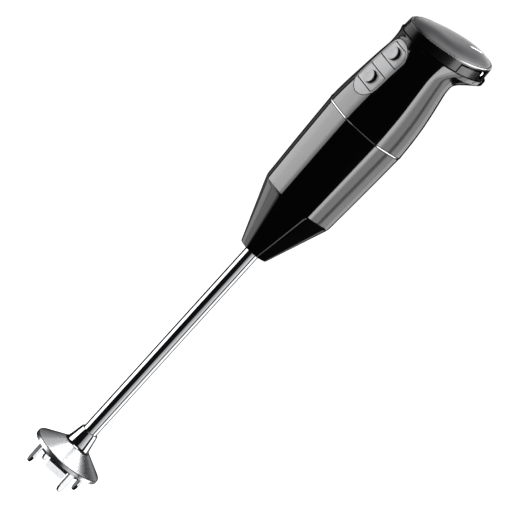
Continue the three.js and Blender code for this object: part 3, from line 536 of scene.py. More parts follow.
def makeLowerHousing():
    nose, taper, waist = heights["nose"], heights["taper"], heights["waist"]
    rounding = lowerHousing["noseRound"]
    noseFlat, taperFlat, waistFlat = octagon["noseFlat"], octagon["taperFlat"], octagon["waistFlat"]
    slope = (taperFlat - noseFlat) / (taper - nose - rounding)
    outline = [(lowerHousing["noseBore"], nose)]
    for angle in span(0, 70, 5):
        turn = radians(angle)
        outline.append((noseFlat - rounding * (1 - sin(turn)), nose + rounding * (1 - cos(turn))))
    blend = 1.6
    for t in span(0, 1, 6):
        low = (taperFlat - slope * blend, taper - blend)
        mid = (taperFlat, taper)
        high = (taperFlat + 0.09 * blend, taper + blend)
        outline.append(curved(low, mid, high, t))
    for share in span(0.1, 1, 7):
        swell = 0.15 * 4 * share * (1 - share)
        outline.append((taperFlat + (waistFlat - taperFlat) * share + swell,
                        taper + (waist - taper) * share - 0.12 * (share == 1)))
    spigot = waistFlat - lowerHousing["wall"] - 0.3
    spigotTop = gripFlat(gripShare(lowerHousing["spigotTop"])) - 2.45
    outline += [(waistFlat - 0.12, waist), (spigot, waist), (spigotTop, lowerHousing["spigotTop"]),
                (spigotTop - 1.6, lowerHousing["spigotTop"]), (spigotTop - 1.6, waist - 2),
                (waistFlat - 2.4, waist - 8), (taperFlat - 2, taper + 1), (noseFlat - 0.8, nose + 3.5),
                (lowerHousing["noseBore"], nose + 3.5), outline[0]]
    obj = loft("lowerHousing", outline, octagonRule, ringSteps, 40)
    return settle(obj, 40)


dress(makeLowerHousing(), finishes["gloss_black"], "gloss_black", "handle", "lower_housing")

# trim ring: slightly crowned band standing a little proud
trimRing = {"stand": 0.2, "height": 0.9, "depth": 2.2}


def makeTrimRing():
    outer = octagon["waistFlat"] + trimRing["stand"]
    low, high = heights["ring"], heights["ring"] + trimRing["height"]
    edge = 0.22
    outline = [(outer - trimRing["depth"], low), (outer - edge, low),
               (outer - edge * 0.3, low + edge * 0.3),
               (outer, low + edge), (outer, high - edge), (outer - edge * 0.3, high - edge * 0.3),
               (outer - edge, high), (outer - trimRing["depth"], high)]
    return settle(loft("trimRing", outline + outline[:1], octagonRule, ringSteps, 50), 50)


dress(makeTrimRing(), finishes["trim"], "trim", "handle", "trim_ring")
print("lower housing and trim ring made")

# upper housing, its button panel and the two push buttons
panel = {"width": 21.4, "foot": 15.5, "length": 44.2, "rail": 1.0, "endLow": 6.6, "endHigh": 3.4,
         "middle": 7.6,
         "gap": 0.3, "seam": 0.45, "keySeam": 0.7, "padRadius": 4.5, "padRise": 2.1, "wall": 2.0,
         "cutFront": -45, "cutBack": -10, "cutHalf": 40}
panelLow = heights["grip"] + panel["foot"]
panelHigh = panelLow + panel["length"]
keyLength = (panel["length"] - panel["endLow"] - panel["endHigh"] - panel["middle"]) / 2
keySpans = {"low": panelLow + panel["endLow"], "high": panelHigh - panel["endHigh"] - keyLength}


def panelOutline(extra, steps=20):
    half = panel["width"] / 2
    top, foot = panelHigh - half, panelLow + half
    return stadium(0, foot, top, half + extra, steps)


def gripLevels():
    grip, neck, seam = heights["grip"], heights["neck"], heights["seam"]
    return span(grip, neck, 22) + span(neck, seam - egg["flangeBand"], 14)[1:] + [seam - 2.3, seam - 1.6,
                                                                                  seam - 0.9, seam - 0.25,
                                                                                  seam]


def makeGripShell(name):
    levels = gripLevels()
    outline = [(0.14 * (z == levels[-1]), z) for z in levels]
    outline += [(panel["wall"], z) for z in reversed(levels[::4])]
    if outline[-1][1] != levels[0]:
        outline.append((panel["wall"], levels[0]))
    return loft(name, outline + outline[:1], gripRule, ringSteps, 40)


def makeGripSolid(name):
    levels = gripLevels()
    outline = [(None, levels[0])] + [(0, z) for z in levels] + [(None, levels[-1])]
    def rule(side, inset, height):
        return (0, 0, height) if inset is None else gripRule(side, inset, height)
    return loft(name, outline, rule, ringSteps, 40)


def slabAcross(name, low, high):
    half = panel["cutHalf"]
    return prism(name, [(-half, low), (half, low), (half, high), (-half, high)], panel["cutFront"], 0)


upperHousing = combine(makeGripShell("upperHousing"), prism("panelCut", panelOutline(panel["seam"]),
                                                            panel["cutFront"], panel["cutBack"]),
                       "DIFFERENCE")
dress(soften(upperHousing, 0.18, 50), finishes["gloss_black"], "gloss_black", "handle", "upper_housing")
print("upper housing made")


def makeBezel():
    bezel = combine(makeGripShell("buttonPanel"), prism("panelKeep", panelOutline(0), panel["cutFront"],
                                                        panel["cutBack"]), "INTERSECT")
    for level, low in keySpans.items():
        window = prism("window", panelOutline(-panel["rail"]), panel["cutFront"], panel["cutBack"])
        combine(window, slabAcross("windowBand", low, low + keyLength), "INTERSECT")
        combine(bezel, window, "DIFFERENCE")
    return soften(bezel, 0.28, 50)


dress(makeBezel(), finishes["panel_grey"], "panel_grey", "handle", "button_bezel")


def makeButton(level):
    low = keySpans[level] + panel["keySeam"]
    high = keySpans[level] + keyLength - panel["keySeam"]
    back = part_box("button_" + level)[1].y / mm
    key = combine(makeGripSolid("button" + level.title()),
                  prism("keyKeep", panelOutline(-panel["rail"] - panel["gap"]), panel["cutFront"], back),
                  "INTERSECT")
    combine(key, slabAcross("keyBand", low, high), "INTERSECT")
    middle = (low + high) / 2
    share = gripShare(middle)
    flat = gripFlat(share) + octagon["neckLean"] * ease((share - 0.35) / 0.65)
    radius, top = panel["padRadius"], flat + panel["padRise"]
    edge = 0.5
    outline = [(0, flat - 1.5), (radius + 0.15, flat - 1.5), (radius + 0.15, flat - 0.1),
               (radius, flat + 0.1),
               (radius, top - edge), (radius - edge * 0.3, top - edge * 0.3), (radius - edge, top),
               (radius * 0.6, top - 0.12), (radius * 0.3, top - 0.2), (0, top - 0.22)]
    pad = lathe("pad", outline, 64, 40)
    pad.data.transform(Matrix.Translation((0, 0, middle * mm)) @ Matrix.Rotation(pi / 2, 4, "X"))
    combine(soften(key, 0.25, 50), pad, "UNION")
    settle(key, 40)
    return key, middle


def paintPadShadow(key, middle):
    # painted shadow: the pad's side is painted black, standing in for its shaded wall and the shadow it
    # casts
    key.data.materials.append(shadeBlackFinish)
    for face in key.data.polygons:
        away = Vector((face.center.x / mm, face.center.z / mm - middle)).length
        if abs(away - panel["padRadius"]) < 0.25 and abs(face.normal.y) < 0.75:
            face.material_index = 1


for level in ("low", "high"):
    key, middle = makeButton(level)
    dress(key, finishes["panel_grey"], "panel_grey", level + "_button", "button_" + level)
    paintPadShadow(key, middle)
print("button panel made")

# battery pack head: wall, release buttons, charge slots, domed cover and its indicator window, whose glow
# is a painted highlight
packHead = {"lip": 1.5, "domeHeight": 3.84, "domeWall": 1.5, "wall": 1.8, "floor": 1.6}
release = {"front": 0.8, "length": 22.0, "top": 0.8, "seam": 1.2, "wallHeight": 8.8, "wellRoom": 2.3,
           "inside": 12, "outside": 30, "armHalf": 2.5, "armInner": 20.5, "armOuter": 23.9,
           "tongueOuter": 21.9, "tongueDrop": 1.4, "tongueRise": 3.4}
latchCut = {"half": 2.8, "high": 0.33, "inner": 18.2}
charge = {"start": 1.2, "length": 5.2, "low": 0.16, "high": 0.84, "contactWidth": 1.9, "contactHeight": 3.2,
          "recess": 1.4, "thickness": 0.8, "roundness": 0.8, "inner": 15.2}


def headBand(name, y0, y1, low, high, x0, x1):
    outline = [(y, wallHeight(y, share)) for y, share in ((y0, low), (y1, low), (y1, high), (y0, high))]
    return prism(name, outline, min(x0, x1), max(x0, x1), "X")


def headOrMiddle(side, inset, share):
    if inset is not None:
        return headRule(side, inset, share)
    return 0, egg["offset"], wallHeight(egg["offset"], share)


def makeHead():
    height = heights["top"] - heights["seam"]
    foot = 0.05
    floor = foot + packHead["floor"] / height
    shelf = 1 - (packHead["domeWall"] + 1) / height
    lip = packHead["lip"]
    outline = [(None, foot), (0.3, foot), (0.08, foot + 0.015), (0, foot + 0.04), (0, 0.9), (0.14, 0.94),
               (0.7, 0.985), (0.9, 1), (lip - 0.2, 1), (lip, 0.98), (lip, shelf), (lip * 2, shelf),
               (packHead["wall"], shelf - lip / height), (packHead["wall"], floor), (None, floor)]
    return loft("packHead", outline, headOrMiddle, ringSteps, 40)


def wallRing(name, outer, inner):
    outline = [(inner, -0.2), (outer, -0.2), (outer, 1), (inner, 1)]
    return loft(name, outline + outline[:1], headRule, ringSteps, 40)


head = makeHead()
releaseBack = release["front"] + release["length"]
releaseMiddle = (release["front"] + releaseBack) / 2
for side in (-1, 1):
    well = combine(wallRing("well", -1, packHead["wall"] + release["wellRoom"]),
                   headBand("wellBand", release["front"], releaseBack, -0.2, release["top"],
                            side * release["inside"], side * release["outside"]),
                   "INTERSECT")
    combine(head, well, "DIFFERENCE")
    combine(head, headBand("latchCut", releaseMiddle - latchCut["half"], releaseMiddle + latchCut["half"],
                           -0.2,
                           latchCut["high"], side * latchCut["inner"], side * release["outside"]),
            "DIFFERENCE")
    combine(head, headBand("chargeSlot", releaseBack + charge["start"],
                           releaseBack + charge["start"] + charge["length"],
                           charge["low"], charge["high"], side * charge["inner"],
                           side * release["outside"]),
            "DIFFERENCE")
dress(soften(head, 0.16, 50), finishes["head_grey"], "head_grey", "battery_pack", "pack_head")

recessDepth = 0.972  # share of the way out where the walls of the wells begin


def placeOnHead(face):
    # how far out the face is, 1 on the head's outline, and how high on the wall, 1 at the rim
    x, y, z = face.center / mm
    depth = egg["front"] if y < egg["offset"] else egg["back"]
    low = heights["seam"] + egg["seamTilt"] * y
    outward = hypot(x / egg["halfWidth"], (y - egg["offset"]) / depth)
    return outward, (z - low) / (heights["top"] + egg["rimTilt"] * y - low)


def paintRecessShade(piece):
    # painted shade: the walls of the wells and slots are painted black, where shade falls in them
    piece.data.materials.append(shadeBlackFinish)
    for face in piece.data.polygons:
        outward, share = placeOnHead(face)
        if outward < recessDepth and 0.08 < share < 0.93:
            face.material_index = 1


def paintRimHighlight(piece):
    # painted highlight: the chamfer round the top is painted paler than the wall, standing in for the
    # bright line that light draws along it
    piece.data.materials.append(rimHighlightFinish)
    for face in piece.data.polygons:
        outward, share = placeOnHead(face)
        if outward > 0.94 and share > 0.905 and 0.25 < face.normal.z < 0.97:
            face.material_index = 2


paintRecessShade(head)
paintRimHighlight(head)


def makeContact(name, side):
    # a sprung oval plate at the bottom of the charging slot
    middle = releaseBack + charge["start"] + charge["length"] / 2
    height = wallHeight(middle, (charge["low"] + charge["high"]) / 2)
    depth = sqrt(1 - ((middle - egg["offset"]) / egg["back"]) ** 2) * egg["halfWidth"]
    half, tall = charge["contactWidth"] / 2, charge["contactHeight"] / 2
    outline = [(middle + half * copysign(abs(cos(a)) ** charge["roundness"], cos(a)),
                height + tall * copysign(abs(sin(a)) ** charge["roundness"], sin(a)))
               for a in (2 * pi * k / 32 for k in range(32))]
    outer, inner = depth - charge["recess"], depth - charge["recess"] - charge["thickness"]
    contact = prism(name, outline, min(side * inner, side * outer), max(side * inner, side * outer), "X")
    return soften(contact, 0.3, 50)


for name, side in (("left", -1), ("right", 1)):
    dress(makeContact("chargeContact" + name.title(), side), finishes["steel"], "steel", "battery_pack",
          "charge_contact_" + name)
print("pack head made")


def makeRelease(name, side):
    key = combine(wallRing("releaseButton" + name.title(), 0, packHead["wall"]),
                  headBand("keyBand", release["front"] + release["seam"], releaseBack - release["seam"],
                           0.05,
                           release["top"] - release["seam"] / release["wallHeight"],
                           side * release["inside"], side * release["outside"]), "INTERSECT")
    front, back = releaseMiddle - release["armHalf"], releaseMiddle + release["armHalf"]
    arm = headBand("arm", front, back, 0.3, 0.72, side * release["armInner"], side * release["armOuter"])
    combine(key, arm, "UNION")
    base = heights["seam"] + egg["seamTilt"] * releaseMiddle
    foot, top = heights["seam"] - release["tongueDrop"], base + release["tongueRise"]
    ends = side * release["armInner"], side * release["tongueOuter"]
    tongue = prism("tongue", corner([(front, foot), (back, foot), (back, top), (front, top)], 0.4),
                   min(ends), max(ends), "X")
    combine(key, tongue, "UNION")
    return soften(key, 0.2, 50)


for name, side in (("left", -1), ("right", 1)):
    key = dress(makeRelease(name, side), finishes["head_grey"], "head_grey", name + "_release",
                "release_button_" + name)
    paintRecessShade(key)
print("release buttons made")

lens = {"width": 1.8, "front": 20.0, "back": 30.0, "offset": 3.0, "cutLow": 370, "cutHigh": 400}


def lensOutline(extra, steps=10):
    return stadium(lens["offset"], lens["front"], lens["back"], lens["width"] / 2 + extra, steps)


def makeDome(name):
    middle = egg["halfWidth"]
    start = packHead["lip"] + 0.3
    def inset(share):
        return None if share == 1 else start + (middle - start) * share
    def rise(share):
        return packHead["domeHeight"] * (1 - (1 - share) ** 3)
    shares = [0, 0.012, 0.03, 0.06] + span(0.1, 1, 14)
    outline = [((inset(s)), rise(s) - (0.12 if s == 0 else 0)) for s in shares]
    outline += [(inset(s), rise(s) - packHead["domeWall"]) for s in reversed(shares)]
    def rule(side, inwards, lift):
        x, y, z = headOrMiddle(side, inwards, 1)
        return x, y, z + lift
    return loft(name, outline + outline[:1], rule, ringSteps, 40)


cover = combine(makeDome("packCover"), prism("lensCut", lensOutline(0.15), lens["cutLow"], lens["cutHigh"],
                                             "Z"), "DIFFERENCE")
dress(soften(cover, 0.12, 50), coverFinish, "head_grey", "battery_pack", "pack_cap")
light = combine(makeDome("lightWindow"), prism("lensKeep", lensOutline(0), lens["cutLow"], lens["cutHigh"],
                                               "Z"), "INTERSECT")
dress(soften(light, 0.1, 50), finishes["lens"], "lens", "battery_pack", "indicator_lens")
print("head cover and light made")


# guard: a spun bell, with prongs set round it
guard = {"rimRadius": 25.6, "wall": 1.3, "round": 1.3, "collarFoot": 8.8, "collarTop": 6.5, "bore": 5.6}
prongs = {"count": 4, "width": 4.6, "thickness": 2.2, "radius": 20.0, "turn": 14.4, "flat": 1.2}


def makeBell():
    rim, band, collar, end = heights["rim"], heights["band"], heights["collar"], heights["collarEnd"]
    outer, rounding, wall = guard["rimRadius"], guard["round"], guard["wall"]
    cone = (collar - band - rounding * 0.3) / (outer - rounding * 1.5 - guard["collarFoot"])
    outline = [(outer - wall + 0.3, rim), (outer - 0.3, rim), (outer - 0.08, rim + 0.1),
               (outer, rim + 0.35)]
    for angle in span(0, 62, 6):
        turn = radians(angle)
        outline.append((outer - rounding * 1.3 * (1 - cos(turn)),
                        band - rounding + rounding * 0.95 * sin(turn)))
    outline.append((outer - rounding * 1.5, band + rounding * 0.3))
    foot = guard["collarFoot"]
    for t in span(0, 1, 6):
        low = (foot + 1.6, collar - 1.6 * cone)
        mid = (foot, collar)
        high = (foot - 0.4, collar + 2.2)
        outline.append(curved(low, mid, high, t))
    outline += [(guard["collarTop"] + 0.06, end - 0.5), (guard["collarTop"] - 0.1, end - 0.12),
                (guard["collarTop"] - 0.35, end), (guard["bore"], end), (guard["bore"], collar - 7.5),
                (foot, collar - 7.5), (foot, collar - 2.7), (foot + wall, collar - 2.1),
                (outer - wall, band - rounding * 1.2), (outer - wall, rim + 0.3)]
    return settle(lathe("guardBell", outline + outline[:1], 160, 40), 40)


def makeProng():
    # one prong centred on the axis, ready to be copied round it
    half, tip = prongs["width"] / 2, heights["tip"]
    root = heights["band"] + 1.6
    rounding = [(half * (0.26 + 0.74 * sin(t * pi / 2)),
                 tip + half * 2.2 * (1 - cos(t * pi / 2))) for t in span(0.08, 1, 8)]
    outline = [(-prongs["flat"] / 2, tip), (prongs["flat"] / 2, tip)] + rounding
    outline += [(half, root), (-half, root)] + [(-x, z) for x, z in reversed(rounding)]
    prong = prism("prong", outline, -prongs["thickness"] / 2, prongs["thickness"] / 2)
    return soften(prong, 0.6, 50, 4)


def nodeTree(name, inputs):
    tree = bpy.data.node_groups.new(name, "GeometryNodeTree")
    tree.interface.new_socket("Geometry", in_out="OUTPUT", socket_type="NodeSocketGeometry")
    for label, kind in inputs:
        tree.interface.new_socket(label, in_out="INPUT", socket_type="NodeSocket" + kind)
    source = tree.nodes.new("NodeGroupInput")
    result = tree.nodes.new("NodeGroupOutput")
    return tree, source, result


def addNode(tree, kind, links=None, **values):
    node = tree.nodes.new(kind)
    for label, value in values.items():
        if hasattr(node, label):
            setattr(node, label, value)
        else:
            node.inputs[label.replace("_", " ")].default_value = value
    for label, output in (links or {}).items():
        tree.links.new(output, node.inputs[label])
    return node


def runTree(name, tree, values):
    # the tree's result as a plain mesh at the origin
    holder = addObject(name, bpy.data.meshes.new(name))
    modifier = holder.modifiers.new(name, "NODES")
    modifier.node_group = tree
    for item in tree.interface.items_tree:
        if item.item_type == "SOCKET" and item.in_out == "INPUT" and item.name in values:
            modifier[item.identifier] = values[item.name]
    graph = bpy.context.evaluated_depsgraph_get()
    mesh = bpy.data.meshes.new_from_object(holder.evaluated_get(graph), depsgraph=graph)
    holder.modifiers.remove(modifier)
    old = holder.data
    holder.data = mesh
    bpy.data.meshes.remove(old)
    return holder


def aroundTree():
    # copies of one piece set on a circle, each turned to face outwards
    tree, source, result = nodeTree("piecesAround", [
        ("Piece", "Object"), ("Count", "Int"), ("Radius", "Float"), ("Turn", "Float"), ("Finish",
                                                                                        "Material")])
    circle = addNode(tree, "GeometryNodeMeshCircle", {
        "Vertices": source.outputs["Count"], "Radius": source.outputs["Radius"]})
    turned = addNode(tree, "GeometryNodeTransform", {"Geometry": circle.outputs["Mesh"]})
    rotation = addNode(tree, "ShaderNodeCombineXYZ", {"Z": source.outputs["Turn"]})
    tree.links.new(rotation.outputs["Vector"], turned.inputs["Rotation"])
    piece = addNode(tree, "GeometryNodeObjectInfo", {"Object": source.outputs["Piece"]})
    index = addNode(tree, "GeometryNodeInputIndex")
    share = addNode(tree, "ShaderNodeMath", {0: index.outputs["Index"], 1: source.outputs["Count"]},
                    operation="DIVIDE")
    angle = addNode(tree, "ShaderNodeMath", {0: share.outputs["Value"], 2: source.outputs["Turn"]},
                    operation="MULTIPLY_ADD")
    angle.inputs[1].default_value = 2 * pi
    quarter = addNode(tree, "ShaderNodeMath", {0: angle.outputs["Value"]}, operation="ADD")
    quarter.inputs[1].default_value = pi / 2
    facing = addNode(tree, "ShaderNodeCombineXYZ", {"Z": quarter.outputs["Value"]})
    copies = addNode(tree, "GeometryNodeInstanceOnPoints", {
        "Points": turned.outputs["Geometry"], "Instance": piece.outputs["Geometry"],
        "Rotation": facing.outputs["Vector"]})
    real = addNode(tree, "GeometryNodeRealizeInstances", {"Geometry": copies.outputs["Instances"]})
    finish = addNode(tree, "GeometryNodeSetMaterial", {
        "Geometry": real.outputs["Geometry"], "Material": source.outputs["Finish"]})
    tree.links.new(finish.outputs["Geometry"], result.inputs["Geometry"])
    return tree


piecesAround = aroundTree()
bellFinish = chromeFinish("satinBell", heights["collar"] * mm)
dress(makeBell(), bellFinish, "chrome_polish", "handle", "guard")
prong = makeProng()
ring = runTree("guardProngs", piecesAround, {
    "Piece": prong, "Count": prongs["count"], "Radius": prongs["radius"] * mm,
    "Turn": -pi / 2 - radians(prongs["turn"]), "Finish": finishes["chrome_polish"]})
dress(ring, finishes["chrome_polish"], "chrome_polish", "handle")
bpy.data.objects.remove(prong)
print("guard made")

# arm tube, with a flange that sits inside the nose
arm = {"radius": 5.3, "wall": 0.8, "flange": 8.0}


def makeTube():
    low, nose = heights["tube"], heights["nose"]
    outer, inner = arm["radius"], arm["radius"] - arm["wall"]
    flange, top = nose + 3.8, nose + 9.5
    outline = [(inner + 0.15, low), (outer - 0.2, low), (outer, low + 0.2)]
    outline += [(outer, z) for z in span(low + 12, nose - 4, 12)]
    outline += [(outer, flange), (arm["flange"] - 0.15, flange), (arm["flange"], flange + 0.15),
                (arm["flange"], flange + 1.35), (arm["flange"] - 0.15, flange + 1.5), (outer, flange + 1.5),
                (outer, top - 0.2), (outer - 0.2, top), (inner + 0.15, top), (inner, top - 0.15),
                (inner, low + 0.15)]
    return settle(lathe("armTube", outline + outline[:1], 96, 40), 40)


dress(makeTube(), finishes["chrome_polish"], "chrome_polish", "handle", "shaft_tube")


# cross blade: bent wings and sharpened cutters, and its hub
blade = {"plate": 2.1, "sheet": 1.0, "wingReach": 8.6, "wingWidth": 15.0, "wingDrop": 6.0,
         "cutterReach": 16.2,
         "cutterWidth": 6.5, "turn": 45, "hub": 4.7, "slot": 1.1,
         "slotHeight": 9.6}


def makeBlade():
    low, high = blade["plate"], blade["plate"] + blade["sheet"]
    half, reach, sheet = blade["wingWidth"] / 2, blade["wingReach"], blade["sheet"]
    foot = high - blade["wingDrop"]
    bend = 1.4
    section = [(-reach, foot), (-reach + sheet, foot)]
    def arc(middleX, middleZ, radius, start, end):
        return [(middleX + radius * cos(radians(a)), middleZ + radius * sin(radians(a)))
                for a in span(start, end, 5)]
    section += arc(-reach + sheet + bend * 0.4, low - bend * 0.4, bend * 0.4, 180, 90)
    section += arc(reach - sheet - bend * 0.4, low - bend * 0.4, bend * 0.4, 90, 0)
    section += [(reach - sheet, foot), (reach, foot)]
    section += arc(reach - bend, high - bend, bend, 0, 90) + arc(-reach + bend, high - bend, bend, 90, 180)
    wings = prism("crossBlade", section, -half, half, "X")
    trim = prism("wingTrim", corner([(-half, foot), (half, foot), (half, high + 1), (-half, high + 1)],
                                    2.6, 6),
                 -reach - 1, reach + 1)
    combine(wings, trim, "INTERSECT")
    wide = blade["cutterWidth"] / 2
    far = blade["cutterReach"]
    plan = [(-far, -wide * 0.5), (-far + wide, -wide), (far - wide, -wide), (far, wide * 0.5),
            (far - wide, wide),
            (-far + wide, wide)]
    cutters = prism("cutters", plan, low, high, "Z")
    bm = bmesh.new()
    bm.from_mesh(cutters.data)
    for vert in bm.verts:
        # the ground bevel: the upper edge draws in towards the tips
        if vert.co.z > (high - 0.01) * mm and abs(vert.co.x) > wide * mm:
            vert.co.y *= 0.62
    bm.to_mesh(cutters.data)
    bm.free()
    combine(wings, cutters, "UNION")
    hole = [(0, low - 1), (blade["hub"], low - 1), (blade["hub"], high + 1), (0, high + 1)]
    combine(wings, lathe("hubHole", hole, 64), "DIFFERENCE")
    wings.data.transform(Matrix.Rotation(radians(blade["turn"]), 4, "Z"))
    return soften(wings, 0.42, 30, 3)


bladeFinish = metalFinish("polishedBlade", (0.7, 0.71, 0.73), (0.84, 0.85, 0.87), (0.07, 0.14), 300,
                          (6, 1, 1), 0.1)
dress(makeBlade(), bladeFinish, "steel", "blade", "blade")


def makeHub():
    outline = [(0, 0), (3.9, 0), (4.2, 0.12), (4.4, 0.4), (4.4, 11.1), (4.28, 11.38), (4.0, 11.5),
               (2.5, 11.5),
               (2.3, 11.3), (2.3, 1.4), (0, 1.4)]
    hub = lathe("bladeHub", outline, 72, 40)
    slot, middle = blade["slot"], blade["slotHeight"]
    combine(hub, prism("pinSlot", [(-8, middle - slot), (8, middle - slot), (8, 13), (-8, 13)], -slot,
                       slot), "DIFFERENCE")
    return soften(hub, 0.15, 50)


dress(makeHub(), finishes["steel"], "steel", "blade", "blade_hub")
print("arm and blade made")

# coil springs behind the release buttons
spring = {"radius": 1.7, "wire": 0.28, "turns": 5.5, "inner": 13.9, "outer": 20.2, "pressed": 0.64}


def springTree():
    tree, source, result = nodeTree("coilSpring", [
        ("Turns", "Float"), ("Radius", "Float"), ("Length", "Float"), ("Wire", "Float"), ("Finish",
                                                                                          "Material")])
    spiral = addNode(tree, "GeometryNodeCurveSpiral", {
        "Rotations": source.outputs["Turns"], "Start Radius": source.outputs["Radius"],
        "End Radius": source.outputs["Radius"], "Height": source.outputs["Length"]}, Resolution=28)
    profile = addNode(tree, "GeometryNodeCurvePrimitiveCircle", {"Radius": source.outputs["Wire"]},
                      Resolution=10)
    wire = addNode(tree, "GeometryNodeCurveToMesh", {
        "Curve": spiral.outputs["Curve"], "Profile Curve": profile.outputs["Curve"]}, Fill_Caps=True)
    soft = addNode(tree, "GeometryNodeSetShadeSmooth", {"Geometry": wire.outputs["Mesh"]})
    real = addNode(tree, "GeometryNodeRealizeInstances", {"Geometry": soft.outputs["Geometry"]})
    finish = addNode(tree, "GeometryNodeSetMaterial", {
        "Geometry": real.outputs["Geometry"], "Material": source.outputs["Finish"]})
    tree.links.new(finish.outputs["Geometry"], result.inputs["Geometry"])
    return tree


coilSpring = springTree()
for name, side in (("left", -1), ("right", 1)):
    length = spring["outer"] - spring["inner"] - 2 * spring["wire"]
    coil = runTree("releaseSpring" + name.title(), coilSpring, {
        "Turns": spring["turns"], "Radius": spring["radius"] * mm, "Length": length * mm,
        "Wire": spring["wire"] * mm, "Finish": finishes["steel"]})
    low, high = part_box("release_spring_" + name)
    middle = (low + high) / 2
    start = min(low.x, high.x) + spring["wire"] * mm
    coil.data.transform(Matrix.Translation((start, middle.y, middle.z)) @ Matrix.Rotation(pi / 2, 4, "Y"))
    dress(coil, finishes["steel"], "steel", "battery_pack", "release_spring_" + name)
    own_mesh(coil)
print("springs made")


# camera, floor, backdrop and lights
view = {"distance": 3.2, "azimuth": 44.0, "elevation": 12.0, "lens": 346.7, "targetHeight": 0.1925,
        "acrossX": 3.83, "acrossY": -0.99, "roll": 42.2}


def placeCamera():
    azimuth, elevation = radians(view["azimuth"]), radians(view["elevation"])
    back = Vector((sin(azimuth) * cos(elevation), -cos(azimuth) * cos(elevation),
                   sin(elevation)))
    level = Vector((cos(azimuth), sin(azimuth), 0))
    upright = back.cross(level)
    roll = radians(view["roll"])
    axisX = level * cos(roll) + upright * sin(roll)
    axisY = -level * sin(roll) + upright * cos(roll)
    centre = Vector((0, 0, view["targetHeight"])) + (axisX * view["acrossX"] + axisY * view["acrossY"]) * mm
    camera = addObject("camera", bpy.data.cameras.new("camera"))
    place = centre + back * view["distance"]
    rotation = Matrix((axisX, axisY, back)).transposed().to_4x4()
    camera.matrix_world = Matrix.Translation(place) @ rotation
    camera.data.lens = view["lens"]
    camera.data.sensor_width = 36
    camera.data.clip_end = 60
    bpy.context.scene.camera = camera
    return camera


placeCamera()

studio = {"floorSize": 30.0, "floorHeight": -0.075, "domeRadius": 20.0, "white": 1.0, "ambient": 0.006}


def paleStage(name, strength):
    material = bpy.data.materials.new(name)
    material.use_nodes = True
    tree = material.node_tree
    shader = tree.nodes["Principled BSDF"]
    shader.inputs["Base Color"].default_value = (0.9, 0.9, 0.9, 1)
    shader.inputs["Roughness"].default_value = 0.9
    shader.inputs["Emission Color"].default_value = (1, 1, 1, 1)
    shader.inputs["Emission Strength"].default_value = strength
    return material


def makeFloor():
    bpy.ops.mesh.primitive_grid_add(x_subdivisions=8, y_subdivisions=8, size=studio["floorSize"])
    floor = bpy.context.object
    floor.name = "floor"
    floor.data.transform(Matrix.Translation((0, 0, studio["floorHeight"])))
    return floor


def makeBackdrop():
    bpy.ops.mesh.primitive_uv_sphere_add(segments=48, ring_count=24, radius=studio["domeRadius"])
    dome = bpy.context.object
    dome.name = "backdrop"
    return dome


for stagePiece in (makeFloor(), makeBackdrop()):
    stagePiece.data.materials.append(paleStage("paleStage", studio["white"]))
    stagePiece.visible_glossy = False
    stagePiece.visible_diffuse = False
    stagePiece.visible_shadow = False

world = bpy.data.worlds.new("studioWorld")
bpy.context.scene.world = world
world.use_nodes = True
world.node_tree.nodes["Background"].inputs["Color"].default_value = (1, 1, 1, 1)
world.node_tree.nodes["Background"].inputs["Strength"].default_value = studio["ambient"]

